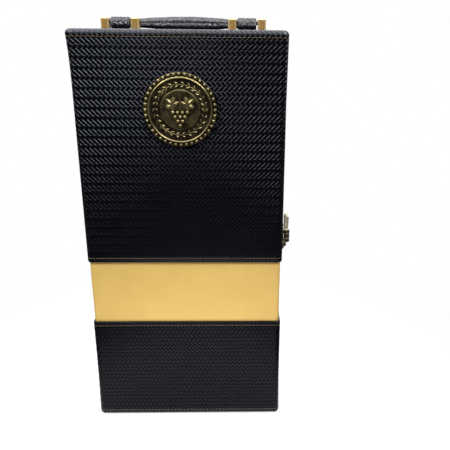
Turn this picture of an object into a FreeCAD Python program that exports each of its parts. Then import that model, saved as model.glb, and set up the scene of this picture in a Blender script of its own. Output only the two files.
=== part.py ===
import FreeCAD, Part
import math
import os
import Sketcher

# Driving sizes in millimetres: alias, value, meaning.
SIZES = [
    ("box_width", 170.0, "outside width over the woven covering"),
    ("box_depth", 105.0, "outside depth over the woven covering"),
    ("box_height", 350.0, "ground to top face"),
    ("lid_depth", 35.0, "front face back to the seam"),
    ("seam_gap", 0.8, "open joint between lid and tray"),
    ("edge_round", 3.5, "outside rounding of the woven covering"),
    ("cover_thick", 1.8, "woven covering with its padding"),
    ("band_thick", 0.6, "smooth band covering"),
    ("board_thick", 4.5, "boards of the carcass"),
    ("rim_fold", 0.6, "covering turned over the board edges at the seam"),
    ("lining_thick", 1.2, "lining of lid and tray"),
    ("base_proud", 0.3, "base sheet below the covering"),
    ("base_inset", 9.0, "base sheet in from the covering's edge"),
    ("band_bottom", 99.5, "ground to the lower edge of the band"),
    ("band_height", 58.5, "height of the band"),
    ("lid_pad_thick", 4.0, "pad on the inside of the lid"),
    ("back_pad_thick", 4.0, "pad on the inside of the tray's back"),
    ("pad_margin", 6.0, "lining left bare round a pad"),
    ("divider_thick", 3.0, "divider between the two bays"),
    ("divider_setback", 4.0, "divider behind the tray's front rim"),
    ("rest_bottom", 250.0, "ground to the underside of the neck rest"),
    ("rest_height", 18.0, "height of the neck rest"),
    ("rest_setback", 9.0, "neck rest behind the tray's front rim"),
    ("neck_radius", 17.0, "notch for a bottle neck"),
    ("bottle_radius", 38.0, "bottle held in a bay"),
    ("bracket_inset", 31.05, "middle of a handle bracket in from the box's side"),
    ("bracket_back", 20.0, "handle pin behind the seam"),
    ("post_gap", 18.4, "clear width between two posts"),
    ("post_width", 6.9, "post along the handle pin"),
    ("post_depth", 9.5, "post front to back"),
    ("post_height", 10.5, "post above the top face"),
    ("post_round", 1.2, "rounding of the post edges"),
    ("foot_thick", 0.6, "bracket foot between its posts"),
    ("loop_clear", 0.8, "leather loop above the bracket foot"),
    ("pin_radius", 1.5, "handle pin"),
    ("run_clear", 0.06, "radial running clearance on pins"),
    ("side_clear", 1.2, "clearance at the ends of a turning loop"),
    ("loop_radius", 5.3, "leather loop round the handle pin"),
    ("handle_reach", 27.0, "handle pin to the middle of the grip"),
    ("elbow_radius", 15.0, "bend of the handle"),
    ("strap_width", 11.5, "handle width at its ends"),
    ("strap_thick", 8.0, "handle thickness at its ends"),
    ("grip_width", 14.5, "handle width in the middle"),
    ("grip_thick", 11.6, "handle thickness in the middle"),
    ("tang_side", 3.0, "square tang under a post, through covering and board"),
    ("hinge_inset", 60.0, "middle of a hinge from the box's end"),
    ("hinge_height", 24.0, "hinge along its pin"),
    ("leaf_width", 11.0, "hinge leaf from the seam"),
    ("leaf_thick", 1.0, "hinge leaf"),
    ("barrel_radius", 2.2, "hinge barrel"),
    ("barrel_clear", 0.3, "hinge barrel off the wall and off the other leaf"),
    ("hinge_pin_radius", 1.0, "hinge pin"),
    ("nail_side", 1.3, "square nail shank"),
    ("nail_head", 1.7, "nail head"),
    ("nail_crown", 0.7, "nail head above its plate"),
    ("nail_length", 5.4, "nail below its head"),
    ("nail_fit", 0.05, "clearance of nails, tangs and fixed pins in their holes"),
    ("nail_pitch", 14.0, "nails of one leaf, apart"),
    ("medal_radius", 29.5, "medallion"),
    ("medal_drop", 60.5, "top face down to the medallion's middle"),
    ("medal_plate", 1.6, "medallion field above the covering"),
    ("medal_relief", 1.0, "rings above the field"),
    ("bead_inset", 1.55, "bead circle in from the medallion's edge"),
    ("bead_radius", 1.5, "bead"),
    ("bead_rise", 0.9, "bead above the field"),
    ("bead_count", 40.0, "beads round the medallion"),
    ("ring_inset", 3.75, "raised ring in from the medallion's edge"),
    ("ring_width", 1.2, "raised ring"),
    ("field_radius", 15.2, "inner raised ring"),
    ("clasp_rise", 17.0, "middle of the clasp above the band"),
    ("clasp_plate_length", 17.0, "clasp plate from near the seam"),
    ("clasp_plate_height", 24.0, "clasp plate along the seam"),
    ("clasp_plate_thick", 1.2, "clasp plate"),
    ("clasp_setback", 2.5, "clasp plate away from the seam"),
    ("clasp_axis_out", 6.0, "clasp pin axis off the wall"),
    ("clasp_axis_front", 7.0, "clasp pin axis in front of the seam"),
    ("clasp_barrel", 2.6, "clasp barrel"),
    ("clasp_knuckle", 4.6, "middle knuckle of the clasp"),
    ("clasp_ear", 3.3, "outer knuckle of the clasp"),
    ("clasp_gap", 0.25, "clearance between clasp knuckles"),
    ("clasp_pin_radius", 1.1, "clasp pin"),
    ("hasp_length", 22.0, "hasp behind its pin"),
    ("hasp_thick", 1.8, "hasp tongue"),
    ("hasp_height", 10.0, "hasp tongue along the seam"),
    ("hasp_drop", 1.5, "hasp below the middle of its plates"),
    ("hasp_flank", 1.5, "tongue's taper beside its knuckle"),
    ("tab_rise", 15.5, "thumb tab above the middle of the clasp"),
    ("tab_flare", 0.2, "thumb tab bent away from the wall"),
    ("tab_swell", 1.1, "thumb tab thicker than the tongue on each side, at its top"),
    ("tab_root", 1.0, "thumb tab let into the tongue"),
    ("stud_radius", 2.6, "stud of the catch plate"),
    ("stud_crown", 1.0, "taper at the end of the stud"),
    ("stud_clear", 0.4, "stud below the hasp"),
]


class Size:
    """A length that carries its value and the sheet formula it comes from."""

    def __init__(self, text, value):
        self.text = text
        self.value = float(value)

    def join(self, sign, other, value):
        return Size(f"({self.text} {sign} {formula(other)})", value)

    def __add__(self, other):
        return self.join("+", other, self.value + number(other))

    def __sub__(self, other):
        return self.join("-", other, self.value - number(other))

    def __mul__(self, other):
        return self.join("*", other, self.value * number(other))

    def __truediv__(self, other):
        return self.join("/", other, self.value / number(other))

    def __radd__(self, other):
        return Size(formula(other), other) + self

    def __rsub__(self, other):
        return Size(formula(other), other) - self

    def __rmul__(self, other):
        return Size(formula(other), other) * self

    def __neg__(self):
        return Size(f"(0 - {self.text})", -self.value)


def formula(item):
    return item.text if isinstance(item, Size) else repr(float(item))


def number(item):
    return item.value if isinstance(item, Size) else float(item)


doc = FreeCAD.newDocument("wine_gift_box")
sheet = doc.addObject("Spreadsheet::Sheet", "Sizes")
for row, (alias, amount, meaning) in enumerate(SIZES, start=1):
    sheet.set(f"A{row}", meaning)
    sheet.set(f"B{row}", str(amount))
    sheet.setAlias(f"B{row}", alias)
doc.recompute()


def cell(alias):
    return Size(f"Sizes.{alias}", sheet.get(alias))


def bind(target, prop, item):
    """Ties a property of an object to a formula over the sheet."""
    target.setExpression(prop, formula(item))


def place(target, spot, turn=None):
    """Ties an object's position; turn is a fixed rotation."""
    start = FreeCAD.Vector(*[number(item) for item in spot])
    target.Placement = FreeCAD.Placement(start, turn or FreeCAD.Rotation())
    for letter, item in zip("xyz", spot):
        bind(target, f"Placement.Base.{letter}", item)


def block(name, low, high):
    """A plain block between two opposite corners."""
    solid = doc.addObject("Part::Box", name)
    for prop, a, b in zip(("Length", "Width", "Height"), low, high):
        bind(solid, prop, b - a)
    place(solid, low)
    return solid


TURNS = {
    "x": FreeCAD.Rotation(FreeCAD.Vector(0, 1, 0), 90),
    "-x": FreeCAD.Rotation(FreeCAD.Vector(0, 1, 0), -90),
    "-y": FreeCAD.Rotation(FreeCAD.Vector(1, 0, 0), 90),
    "z": FreeCAD.Rotation(),
    "-z": FreeCAD.Rotation(FreeCAD.Vector(1, 0, 0), 180),
}


def rod(name, start, way, radius, length):
    """A round bar from a start point along an axis."""
    solid = doc.addObject("Part::Cylinder", name)
    bind(solid, "Radius", radius)
    bind(solid, "Height", length)
    place(solid, start, TURNS[way])
    return solid


def taper(name, start, way, first, second, length):
    """A cone frustum from a start point along an axis."""
    solid = doc.addObject("Part::Cone", name)
    bind(solid, "Radius1", first)
    bind(solid, "Radius2", second)
    bind(solid, "Height", length)
    place(solid, start, TURNS[way])
    return solid


def fuse(name, *items):
    joined = doc.addObject("Part::MultiFuse", name)
    joined.Shapes = list(items)
    joined.Refine = True
    return joined


def group(name, *items):
    bundle = doc.addObject("Part::Compound", name)
    bundle.Links = list(items)
    return bundle


def cut(name, base, *tools):
    result = doc.addObject("Part::Cut", name)
    result.Base = base
    result.Tool = tools[0] if len(tools) == 1 else group(name + "_tools", *tools)
    result.Refine = True
    return result


def common(name, base, tool):
    result = doc.addObject("Part::Common", name)
    result.Base = base
    result.Tool = tool
    return result


def open_sketch(body, name, role, offset=(0, 0, 0), heading=0.0):
    """An empty sketch on an origin plane of its body, shifted and turned within that plane's frame."""
    sketch = body.newObject("Sketcher::SketchObject", name)
    plane = [item for item in body.Origin.OriginFeatures if item.Role == role][0]
    sketch.AttachmentSupport = [(plane, "")]
    sketch.MapMode = "FlatFace"
    shift = FreeCAD.Vector(*[number(item) for item in offset])
    turn = FreeCAD.Rotation(FreeCAD.Vector(0, 1, 0), -heading)
    sketch.AttachmentOffset = FreeCAD.Placement(shift, turn)
    for letter, item in zip("xyz", offset):
        if isinstance(item, Size):
            bind(sketch, f"AttachmentOffset.Base.{letter}", item)
    return sketch


def pin_point(sketch, side, end, spot, tag):
    """Ties a sketch point to formulas for its two coordinates."""
    for kind, letter, item in zip(("DistanceX", "DistanceY"), "uv", spot):
        index = sketch.addConstraint(Sketcher.Constraint(kind, -1, 1, side, end, number(item)))
        sketch.renameConstraint(index, f"{letter}{tag}")
        if isinstance(item, Size):
            bind(sketch, f"Constraints.{letter}{tag}", item)


def arc_between(first, last, radius):
    """The short arc from first to last; a positive radius bulges to the right of the way."""
    chord = last - first
    half = chord.Length / 2
    side = FreeCAD.Vector(chord.y, -chord.x, 0).normalize()
    depth = (radius * radius - half * half) ** 0.5
    centre = (first + last) / 2 - side * depth * (1 if radius > 0 else -1)
    start, stop = (first, last) if radius > 0 else (last, first)
    circle = Part.Circle(centre, FreeCAD.Vector(0, 0, 1), abs(radius))
    return Part.ArcOfCircle(circle, circle.parameter(start), circle.parameter(stop))


def outline(sketch, corners, rounds=None, closed=True):
    """A run of straight sides and arcs through corners given as pairs of formulas."""
    rounds = rounds or {}
    points = [FreeCAD.Vector(number(u), number(v), 0) for u, v in corners]
    count = len(points) if closed else len(points) - 1
    ends = []
    for index in range(count):
        first, last = points[index], points[(index + 1) % len(points)]
        if index in rounds:
            radius = rounds[index]
            side = sketch.addGeometry(arc_between(first, last, number(radius)), False)
            ends.append((side, 1, 2) if number(radius) > 0 else (side, 2, 1))
            tie = Sketcher.Constraint("Radius", side, abs(number(radius)))
            place_at = sketch.addConstraint(tie)
            sketch.renameConstraint(place_at, f"r{index}")
            if isinstance(radius, Size):
                bind(sketch, f"Constraints.r{index}", radius if number(radius) > 0 else -radius)
        else:
            side = sketch.addGeometry(Part.LineSegment(first, last), False)
            ends.append((side, 1, 2))
    for index in range(count):
        side, begin, finish = ends[index]
        pin_point(sketch, side, begin, corners[index], index)
        if closed or index < count - 1:
            following = ends[(index + 1) % count]
            sketch.addConstraint(Sketcher.Constraint("Coincident", side, finish, following[0], following[1]))
    if not closed:
        side, begin, finish = ends[-1]
        pin_point(sketch, side, finish, corners[-1], count)
    return sketch


def strap_section(sketch, width, thick, centre_u=0.0):
    """A flat strap's section on the sketch's u axis, with round sides."""
    round_side = thick / 2
    flat = (width - thick) / 2
    corners = [
        (centre_u - flat, -round_side),
        (centre_u + flat, -round_side),
        (centre_u + flat + round_side, 0),
        (centre_u + flat, round_side),
        (centre_u - flat, round_side),
        (centre_u - flat - round_side, 0),
    ]
    return outline(sketch, corners, {1: round_side, 2: round_side, 4: round_side, 5: round_side})


def new_body(name):
    return doc.addObject("PartDesign::Body", name)


def pad(body, name, sketch, length, back=False):
    solid = body.newObject("PartDesign::Pad", name)
    solid.Profile = sketch
    solid.Reversed = back
    bind(solid, "Length", length)
    doc.recompute()
    return solid


def eased_block(name, low, high, ease, rounded):
    """A block with every edge rounded, or with every edge bevelled."""
    body = new_body(name)
    sketch = open_sketch(body, name + "_plan", "XY_Plane", (0, 0, low[2]))
    plan = [(low[0], low[1]), (high[0], low[1]), (high[0], high[1]), (low[0], high[1])]
    outline(sketch, plan)
    raised = pad(body, name + "_pad", sketch, high[2] - low[2])
    kind, prop = ("Fillet", "Radius") if rounded else ("Chamfer", "Size")
    eased = body.newObject(f"PartDesign::{kind}", name + "_eased")
    eased.Base = (raised, ["Face1"])
    eased.UseAllEdges = True
    bind(eased, prop, ease)
    doc.recompute()
    return body


nodes = []


def node(target, label):
    """Marks a finished sub-part."""
    target.Label = label
    nodes.append(target)
    return target


# Shared planes of the box: front at -Y, top at +Z, ground at Z = 0.
half_width = cell("box_width") / 2
front = -(cell("box_depth") / 2)
back = cell("box_depth") / 2
top = cell("box_height")
low_z = cell("base_proud") + 0
cover = cell("cover_thick")
board = cell("board_thick")
lining = cell("lining_thick")
wall = cover + board
seam = front + cell("lid_depth")
lid_rim = seam - cell("seam_gap") / 2
tray_rim = seam + cell("seam_gap") / 2
band_low = cell("band_bottom")
band_high = band_low + cell("band_height")
FAR = 60.0

# Three nested forms of the closed box: over the woven covering, over the band, over the boards.
step = cover - cell("band_thick")
outside = eased_block(
    "outside_form", (-half_width, front, low_z), (half_width, back, top), cell("edge_round"), True
)
band_form = eased_block(
    "band_form",
    (-(half_width - step), front + step, low_z + step),
    (half_width - step, back - step, top - step),
    cell("edge_round") - step,
    True,
)
carcass = eased_block(
    "carcass_form",
    (-(half_width - cover), front + cover, low_z + cover),
    (half_width - cover, back - cover, top - cover),
    cell("edge_round") - cover,
    False,
)

# Spaces of the two halves.
inner_x = half_width - wall
inner_low = low_z + wall
inner_high = top - wall
lid_board_end = lid_rim - cell("rim_fold")
tray_board_end = tray_rim + cell("rim_fold")
wide = half_width + FAR
lid_back_plane = front + wall
tray_back_plane = back - wall
lid_core = common(
    "lid_core", carcass, block("lid_core_zone", (-wide, front - FAR, -(top / 2)), (wide, lid_board_end, top * 2))
)
tray_core = common(
    "tray_core", carcass, block("tray_core_zone", (-wide, tray_board_end, -(top / 2)), (wide, back + FAR, top * 2))
)
lid_hollow = block("lid_hollow", (-inner_x, lid_back_plane, inner_low), (inner_x, seam, inner_high))
tray_hollow = block("tray_hollow", (-inner_x, seam, inner_low), (inner_x, tray_back_plane, inner_high))

# Nails, driven through their plates into covering and board.
hinge_levels = {"lower": cell("hinge_inset") + 0, "upper": top - cell("hinge_inset")}
nail_line = (cell("leaf_width") + cell("barrel_radius")) / 2
clasp_level = band_high + cell("clasp_rise")
clasp_nail_line = cell("clasp_setback") + cell("clasp_plate_length") * 0.76
clasp_nail_rise = cell("clasp_plate_height") * 0.27


def square_bar(name, spot, inward, side, reach):
    """A square bar along X, from its spot inwards by a length."""
    x, y, z = spot
    ends = (x, x + inward * reach) if inward > 0 else (x - reach, x)
    return block(name, (ends[0], y - side / 2, z - side / 2), (ends[1], y + side / 2, z + side / 2))


def nail(name, spot, inward):
    """A cut nail with an eight-sided head; its spot lies under the head."""
    x, y, z = spot
    shank = square_bar(name + "_shank", spot, inward, cell("nail_side"), cell("nail_length"))
    head = doc.addObject("Part::Prism", name + "_head")
    head.Polygon = 8
    bind(head, "Circumradius", cell("nail_head"))
    bind(head, "Height", cell("nail_crown"))
    place(head, spot, TURNS["-x"] if inward > 0 else TURNS["x"])
    return fuse(name, shank, head)


def nail_set(name, spots, inward):
    """The nails of one group, as a node, and the holes that their plates need."""
    pieces = [nail(f"{name}_{i}", spot, inward) for i, spot in enumerate(spots, start=1)]
    hole = cell("nail_side") + cell("nail_fit") * 2
    deep = cell("nail_length") + cell("nail_fit")
    holes = [square_bar(f"{name}_hole_{i}", spot, inward, hole, deep) for i, spot in enumerate(spots, start=1)]
    node(group(name, *pieces), name)
    return group(name + "_holes", *holes)


leaf_face = -(half_width + cell("leaf_thick"))
pitches = (cell("nail_pitch") / 2, -(cell("nail_pitch") / 2))
lid_hinge_spots = [(leaf_face, seam - nail_line, z + p) for z in hinge_levels.values() for p in pitches]
tray_hinge_spots = [(leaf_face, seam + nail_line, z + p) for z in hinge_levels.values() for p in pitches]
clasp_face = half_width + cell("clasp_plate_thick")
rises = (clasp_nail_rise, -clasp_nail_rise)
clasp_hinge_spots = [(clasp_face, seam - clasp_nail_line, clasp_level + r) for r in rises]
clasp_catch_spots = [(clasp_face, seam + clasp_nail_line, clasp_level + r) for r in rises]
lid_hinge_holes = nail_set("lid_hinge_nails", lid_hinge_spots, 1.0)
tray_hinge_holes = nail_set("tray_hinge_nails", tray_hinge_spots, 1.0)
clasp_hinge_holes = nail_set("clasp_hinge_nails", clasp_hinge_spots, -1.0)
clasp_catch_holes = nail_set("clasp_catch_nails", clasp_catch_spots, -1.0)

# Square tangs of the handle brackets, down through covering and top board.
handle_y = seam + cell("bracket_back")
bracket_centre = half_width - cell("bracket_inset")
post_middle = (cell("post_gap") + cell("post_width")) / 2
post_spots = {
    side: [sign * (bracket_centre + out * post_middle) for out in (-1, 1)]
    for side, sign in (("left", -1), ("right", 1))
}


def tangs(name, middles, side, low, high):
    """Square bars along Z under the posts of one bracket."""
    return [
        block(f"{name}_{i}", (x - side / 2, handle_y - side / 2, low), (x + side / 2, handle_y + side / 2, high))
        for i, x in enumerate(middles, start=1)
    ]


tang_hole = cell("tang_side") + cell("nail_fit") * 2
tang_holes = []
for side, middles in post_spots.items():
    tang_holes.extend(tangs(f"{side}_tang_hole", middles, tang_hole, top - wall - FAR / 10, top + FAR / 10))
tang_mortises = group("tang_mortises", *tang_holes)

# Boards: the front and back ones full size, top and bottom between, sides inside those.
lid_front_slab = block("lid_front_slab", (-wide, front - FAR, -top), (wide, lid_back_plane, top * 2))
node(common("lid_front_board_cut", lid_core, lid_front_slab), "lid_front_board")
tray_back_slab = block("tray_back_slab", (-wide, tray_back_plane, -top), (wide, back + FAR, top * 2))
node(common("tray_back_board_cut", tray_core, tray_back_slab), "tray_back_board")
halves = (
    ("lid", lid_core, lid_back_plane, lid_board_end, {"left": lid_hinge_holes, "right": clasp_hinge_holes}),
    (
        "tray",
        tray_core,
        tray_board_end,
        tray_back_plane,
        {"left": tray_hinge_holes, "right": clasp_catch_holes, "top": tang_mortises},
    ),
)
for half, core, y_low, y_high, holes in halves:
    slabs = {
        "top": ((-wide, y_low, inner_high), (wide, y_high, top * 2)),
        "bottom": ((-wide, y_low, -top), (wide, y_high, inner_low)),
        "left": ((-wide, y_low, inner_low), (-inner_x, y_high, inner_high)),
        "right": ((inner_x, y_low, inner_low), (wide, y_high, inner_high)),
    }
    for side, (low, high) in slabs.items():
        piece = common(f"{half}_{side}_cut", core, block(f"{half}_{side}_slab", low, high))
        if side in holes:
            piece = cut(f"{half}_{side}_pierced", piece, holes[side])
        node(piece, f"{half}_{side}_board")

# Base sheets, let into the covering under each half.
base_reach = half_width - cell("base_inset")
base_zones = {
    "lid": (front + cell("base_inset"), lid_rim - cell("base_inset")),
    "tray": (tray_rim + cell("base_inset"), back - cell("base_inset")),
}
base_holes = {}
for half, (y_low, y_high) in base_zones.items():
    low = (-base_reach, y_low, Size("0", 0))
    sheet_solid = block(f"{half}_base_sheet", low, (base_reach, y_high, low_z + cover))
    node(sheet_solid, f"{half}_base_cover")
    base_holes[half] = sheet_solid

# Coverings: shells between the nested forms, split into the two woven wraps and the band.
half_zones = {"lid": (front - FAR, lid_rim), "tray": (tray_rim, back + FAR)}
half_inside = {"lid": (lid_core, lid_hollow), "tray": (tray_core, tray_hollow)}
wrap_holes = {
    ("lid", "upper_wrap"): (lid_hinge_holes, clasp_hinge_holes),
    ("lid", "lower_wrap"): (lid_hinge_holes, base_holes["lid"]),
    ("tray", "upper_wrap"): (tray_hinge_holes, clasp_catch_holes, tang_mortises),
    ("tray", "lower_wrap"): (tray_hinge_holes, base_holes["tray"]),
}
levels = {
    "upper_wrap": (outside, band_high, top * 2),
    "band": (band_form, band_low, band_high),
    "lower_wrap": (outside, -top, band_low),
}
for half, (y_low, y_high) in half_zones.items():
    for layer, (form, z_low, z_high) in levels.items():
        zone = block(f"{half}_{layer}_zone", (-wide, y_low, z_low), (wide, y_high, z_high))
        tools = [*half_inside[half], *wrap_holes.get((half, layer), ())]
        slice_solid = common(f"{half}_{layer}_slice", form, zone)
        inside = fuse(f"{half}_{layer}_inside", *tools)
        node(cut(f"{half}_{layer}_shell", slice_solid, inside), f"{half}_{layer}")

# Linings: open trays of thin sheet inside each half.
lined_x = inner_x - lining
lined_low = inner_low + lining
lined_high = inner_high - lining
lid_lined = lid_back_plane + lining
tray_lined = tray_back_plane - lining
lid_full = block("lid_lining_full", (-inner_x, lid_back_plane, inner_low), (inner_x, lid_rim, inner_high))
lid_void = block("lid_lining_void", (-lined_x, lid_lined, lined_low), (lined_x, seam, lined_high))
node(cut("lid_lining_shell", lid_full, lid_void), "lid_lining")
tray_full = block("tray_lining_full", (-inner_x, tray_rim, inner_low), (inner_x, tray_back_plane, inner_high))
tray_void = block("tray_lining_void", (-lined_x, seam, lined_low), (lined_x, tray_lined, lined_high))
node(cut("tray_lining_shell", tray_full, tray_void), "tray_lining")

# Pads on the lid's front and the tray's back.
margin = cell("pad_margin")
lid_pad_face = lid_lined + cell("lid_pad_thick")
back_pad_face = tray_lined - cell("back_pad_thick")
pad_x = lined_x - margin
pad_low = lined_low + margin
pad_high = lined_high - margin
pad_zones = (("lid_pad", lid_lined, lid_pad_face), ("tray_back_pad", back_pad_face, tray_lined))
for name, y_low, y_high in pad_zones:
    ease = (y_high - y_low) * 0.3
    node(eased_block(name + "_form", (-pad_x, y_low, pad_low), (pad_x, y_high, pad_high), ease, False), name)

# Divider between the bays, up to the neck rest.
rest_low = cell("rest_bottom")
rest_high = rest_low + cell("rest_height")
divider_half = cell("divider_thick") / 2
divider_front = tray_rim + cell("divider_setback")
node(
    block("divider", (-divider_half, divider_front, lined_low), (divider_half, back_pad_face, rest_low)),
    "centre_divider",
)

# Neck rest with a round-bottomed notch for each bottle, open to the front.
bay_centre = (lined_x + divider_half) / 2
neck_y = back_pad_face - cell("bottle_radius")
rest_front = tray_rim + cell("rest_setback")
neck = cell("neck_radius")
rest_body = new_body("neck_rest_body")
rest_plan = open_sketch(rest_body, "neck_rest_plan", "XY_Plane", (0, 0, rest_low))
rest_corners = [
    (-lined_x, rest_front),
    (-(bay_centre + neck), rest_front),
    (-(bay_centre + neck), neck_y),
    (-bay_centre, neck_y + neck),
    (-(bay_centre - neck), neck_y),
    (-(bay_centre - neck), rest_front),
    (bay_centre - neck, rest_front),
    (bay_centre - neck, neck_y),
    (bay_centre + 0, neck_y + neck),
    (bay_centre + neck, neck_y),
    (bay_centre + neck, rest_front),
    (lined_x + 0, rest_front),
    (lined_x + 0, back_pad_face),
    (-lined_x, back_pad_face),
]
outline(rest_plan, rest_corners, {2: -neck, 3: -neck, 7: -neck, 8: -neck})
pad(rest_body, "neck_rest_pad", rest_plan, cell("rest_height"))
node(rest_body, "neck_rest")

# Handle brackets: two rounded posts on a common foot, bored for the handle pin.
pin_z = top + cell("foot_thick") + cell("loop_clear") + cell("loop_radius")
pin_bore = cell("pin_radius") + cell("nail_fit")
half_gap = cell("post_gap") / 2
half_span = half_gap + cell("post_width")
post_front = handle_y - cell("post_depth") / 2
post_top = top + cell("post_height")
foot_top = top + cell("foot_thick")
post_ease = cell("post_round")

for side, sign in (("left", -1.0), ("right", 1.0)):
    centre = sign * bracket_centre
    body = new_body(f"{side}_bracket_body")
    face = open_sketch(body, f"{side}_bracket_face", "XZ_Plane", (centre, top, -post_front))
    corners = [
        (-half_span, 0),
        (half_span, 0),
        (half_span, cell("post_height") - post_ease),
        (half_span - post_ease, cell("post_height")),
        (half_gap + post_ease, cell("post_height")),
        (half_gap, cell("post_height") - post_ease),
        (half_gap, cell("foot_thick")),
        (-half_gap, cell("foot_thick")),
        (-half_gap, cell("post_height") - post_ease),
        (-(half_gap + post_ease), cell("post_height")),
        (-(half_span - post_ease), cell("post_height")),
        (-half_span, cell("post_height") - post_ease),
    ]
    outline(face, corners, {2: post_ease, 4: post_ease, 8: post_ease, 10: post_ease})
    pad(body, f"{side}_bracket_pad", face, cell("post_depth"), back=True)
    pin_start = (centre - half_span, handle_y, pin_z)
    bore = rod(f"{side}_bracket_bore", pin_start, "x", pin_bore, half_span * 2)
    stems = tangs(f"{side}_tang", post_spots[side], cell("tang_side"), top - wall, top + cell("foot_thick"))
    node(cut(f"{side}_bracket_drilled", fuse(f"{side}_bracket_whole", body, *stems), bore), f"{side}_handle_bracket")
    pin = rod(f"{side}_pin", pin_start, "x", cell("pin_radius"), half_span * 2)
    node(pin, f"{side}_handle_pin")

# Handle: a padded strap lofted round two bends, swelling in the middle, with a loop at each end.
leg_x = bracket_centre + 0
grip_y = handle_y + cell("handle_reach")
bend = cell("elbow_radius")
half_grip = leg_x - bend
leg_end = grip_y - bend
BEND_STEPS = 5
handle_body = new_body("handle_body")
handle_sections = []


def handle_section(x, y, heading, swell=0.0):
    """Adds a section of the strap across its heading; swell goes from 0 to the full grip at 1."""
    ring = open_sketch(handle_body, f"handle_section_{len(handle_sections)}", "XZ_Plane", (x, pin_z, -y), heading)
    width = cell("strap_width") + (cell("grip_width") - cell("strap_width")) * swell
    thick = cell("strap_thick") + (cell("grip_thick") - cell("strap_thick")) * swell
    handle_sections.append(strap_section(ring, width, thick))


bend_turns = [90.0 * count / BEND_STEPS for count in range(BEND_STEPS + 1)]
handle_section(-leg_x, handle_y, 0.0)
for turn in bend_turns:
    across, along = math.cos(math.radians(turn)), math.sin(math.radians(turn))
    handle_section(-(half_grip + bend * across), leg_end + bend * along, turn)
for share in (-0.9, -0.72, -0.4, 0.0, 0.4, 0.72, 0.9):
    handle_section(half_grip * share, grip_y, 90.0, 1.0 - share * share)
for turn in bend_turns:
    across, along = math.sin(math.radians(turn)), math.cos(math.radians(turn))
    handle_section(half_grip + bend * across, leg_end + bend * along, 90.0 + turn)
handle_section(leg_x, handle_y, 180.0)
doc.recompute()
strap = handle_body.newObject("PartDesign::AdditiveLoft", "handle_strap")
strap.Profile = handle_sections[0]
strap.Sections = handle_sections[1:]
strap.Ruled = True
doc.recompute()
loop_half = half_gap - cell("side_clear")
handle_tools = []
handle_solids = [handle_body]
for side, sign in (("left", -1.0), ("right", 1.0)):
    start = (sign * leg_x - loop_half, handle_y, pin_z)
    handle_solids.append(rod(f"{side}_loop", start, "x", cell("loop_radius"), loop_half * 2))
    far = (sign * leg_x - half_gap, handle_y, pin_z)
    handle_tools.append(rod(f"{side}_loop_bore", far, "x", cell("pin_radius") + cell("run_clear"), half_gap * 2))
node(cut("handle_bored", fuse("handle_whole", *handle_solids), *handle_tools), "handle")

# Butt hinges on the left wall: leaves flat on the wall, barrel just outside the seam.
axis_x = -(half_width + cell("barrel_clear") + cell("barrel_radius"))
third = cell("hinge_height") / 3
knuckle_gap = cell("barrel_clear") * 0.7
hinge_bore = cell("hinge_pin_radius") + cell("nail_fit")
relief = cell("barrel_radius") + cell("barrel_clear")
for level, z in hinge_levels.items():
    bottom = z - cell("hinge_height") / 2
    spans = {
        "tray": ((bottom, third - knuckle_gap), (bottom + third * 2 + knuckle_gap, third - knuckle_gap)),
        "lid": ((bottom + third, third + 0),),
    }
    bore = rod(f"{level}_hinge_bore", (axis_x, seam, bottom - 1), "z", hinge_bore, cell("hinge_height") + 2)
    leaves = {
        "tray": (seam, seam + cell("leaf_width"), "lid", tray_hinge_holes),
        "lid": (seam - cell("leaf_width"), seam, "tray", lid_hinge_holes),
    }
    for half, (y_low, y_high, other, holes) in leaves.items():
        name = f"{level}_hinge_{half}_leaf"
        leaf_top = bottom + cell("hinge_height")
        plate = block(name + "_plate", (leaf_face, y_low, bottom), (-half_width, y_high, leaf_top))
        knuckles = [
            rod(f"{name}_knuckle_{i}", (axis_x, seam, start), "z", cell("barrel_radius"), length)
            for i, (start, length) in enumerate(spans[half], start=1)
        ]
        reliefs = []
        for i, (start, length) in enumerate(spans[other], start=1):
            base = (axis_x, seam, start - knuckle_gap)
            reliefs.append(rod(f"{name}_relief_{i}", base, "z", relief, length + knuckle_gap * 2))
        cleared = cut(name + "_cleared", plate, *reliefs)
        whole = fuse(name + "_whole", cleared, *knuckles)
        node(cut(name + "_drilled", whole, bore, holes), name)
    pin = rod(f"{level}_pin", (axis_x, seam, bottom), "z", cell("hinge_pin_radius"), cell("hinge_height"))
    node(pin, f"{level}_hinge_pin")

# Medallion: a turned plate with two raised rings and a beaded rim.
medal_z = top - cell("medal_drop")
medal_body = new_body("medallion_body")
turned = open_sketch(medal_body, "medal_profile", "YZ_Plane", (front, medal_z, 0))
plate_y = -cell("medal_plate")
raised_y = plate_y - cell("medal_relief")
rim_r = cell("medal_radius")
ring_out = rim_r - cell("ring_inset")
ring_in = ring_out - cell("ring_width")
field_out = cell("field_radius") + cell("ring_width") / 2
field_in = cell("field_radius") - cell("ring_width") / 2
profile_points = [
    (0, 0),
    (0, rim_r),
    (plate_y, rim_r),
    (plate_y, ring_out),
    (raised_y, ring_out),
    (raised_y, ring_in),
    (plate_y, ring_in),
    (plate_y, field_out),
    (raised_y, field_out),
    (raised_y, field_in),
    (plate_y, field_in),
    (plate_y, 0),
]
outline(turned, profile_points)
medal = medal_body.newObject("PartDesign::Revolution", "medal_turned")
medal.Profile = turned
medal.ReferenceAxis = (turned, ["H_Axis"])
medal.Angle = 360.0
doc.recompute()
bead = medal_body.newObject("PartDesign::AdditivePrism", "medal_bead")
bead_plane = [item for item in medal_body.Origin.OriginFeatures if item.Role == "XZ_Plane"][0]
bead.AttachmentSupport = [(bead_plane, "")]
bead.MapMode = "FlatFace"
bead.Polygon = 6
bind(bead, "Circumradius", cell("bead_radius"))
bind(bead, "Height", cell("bead_rise"))
bind(bead, "AttachmentOffset.Base.y", medal_z + rim_r - cell("bead_inset"))
bind(bead, "AttachmentOffset.Base.z", -(front + plate_y))
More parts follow.
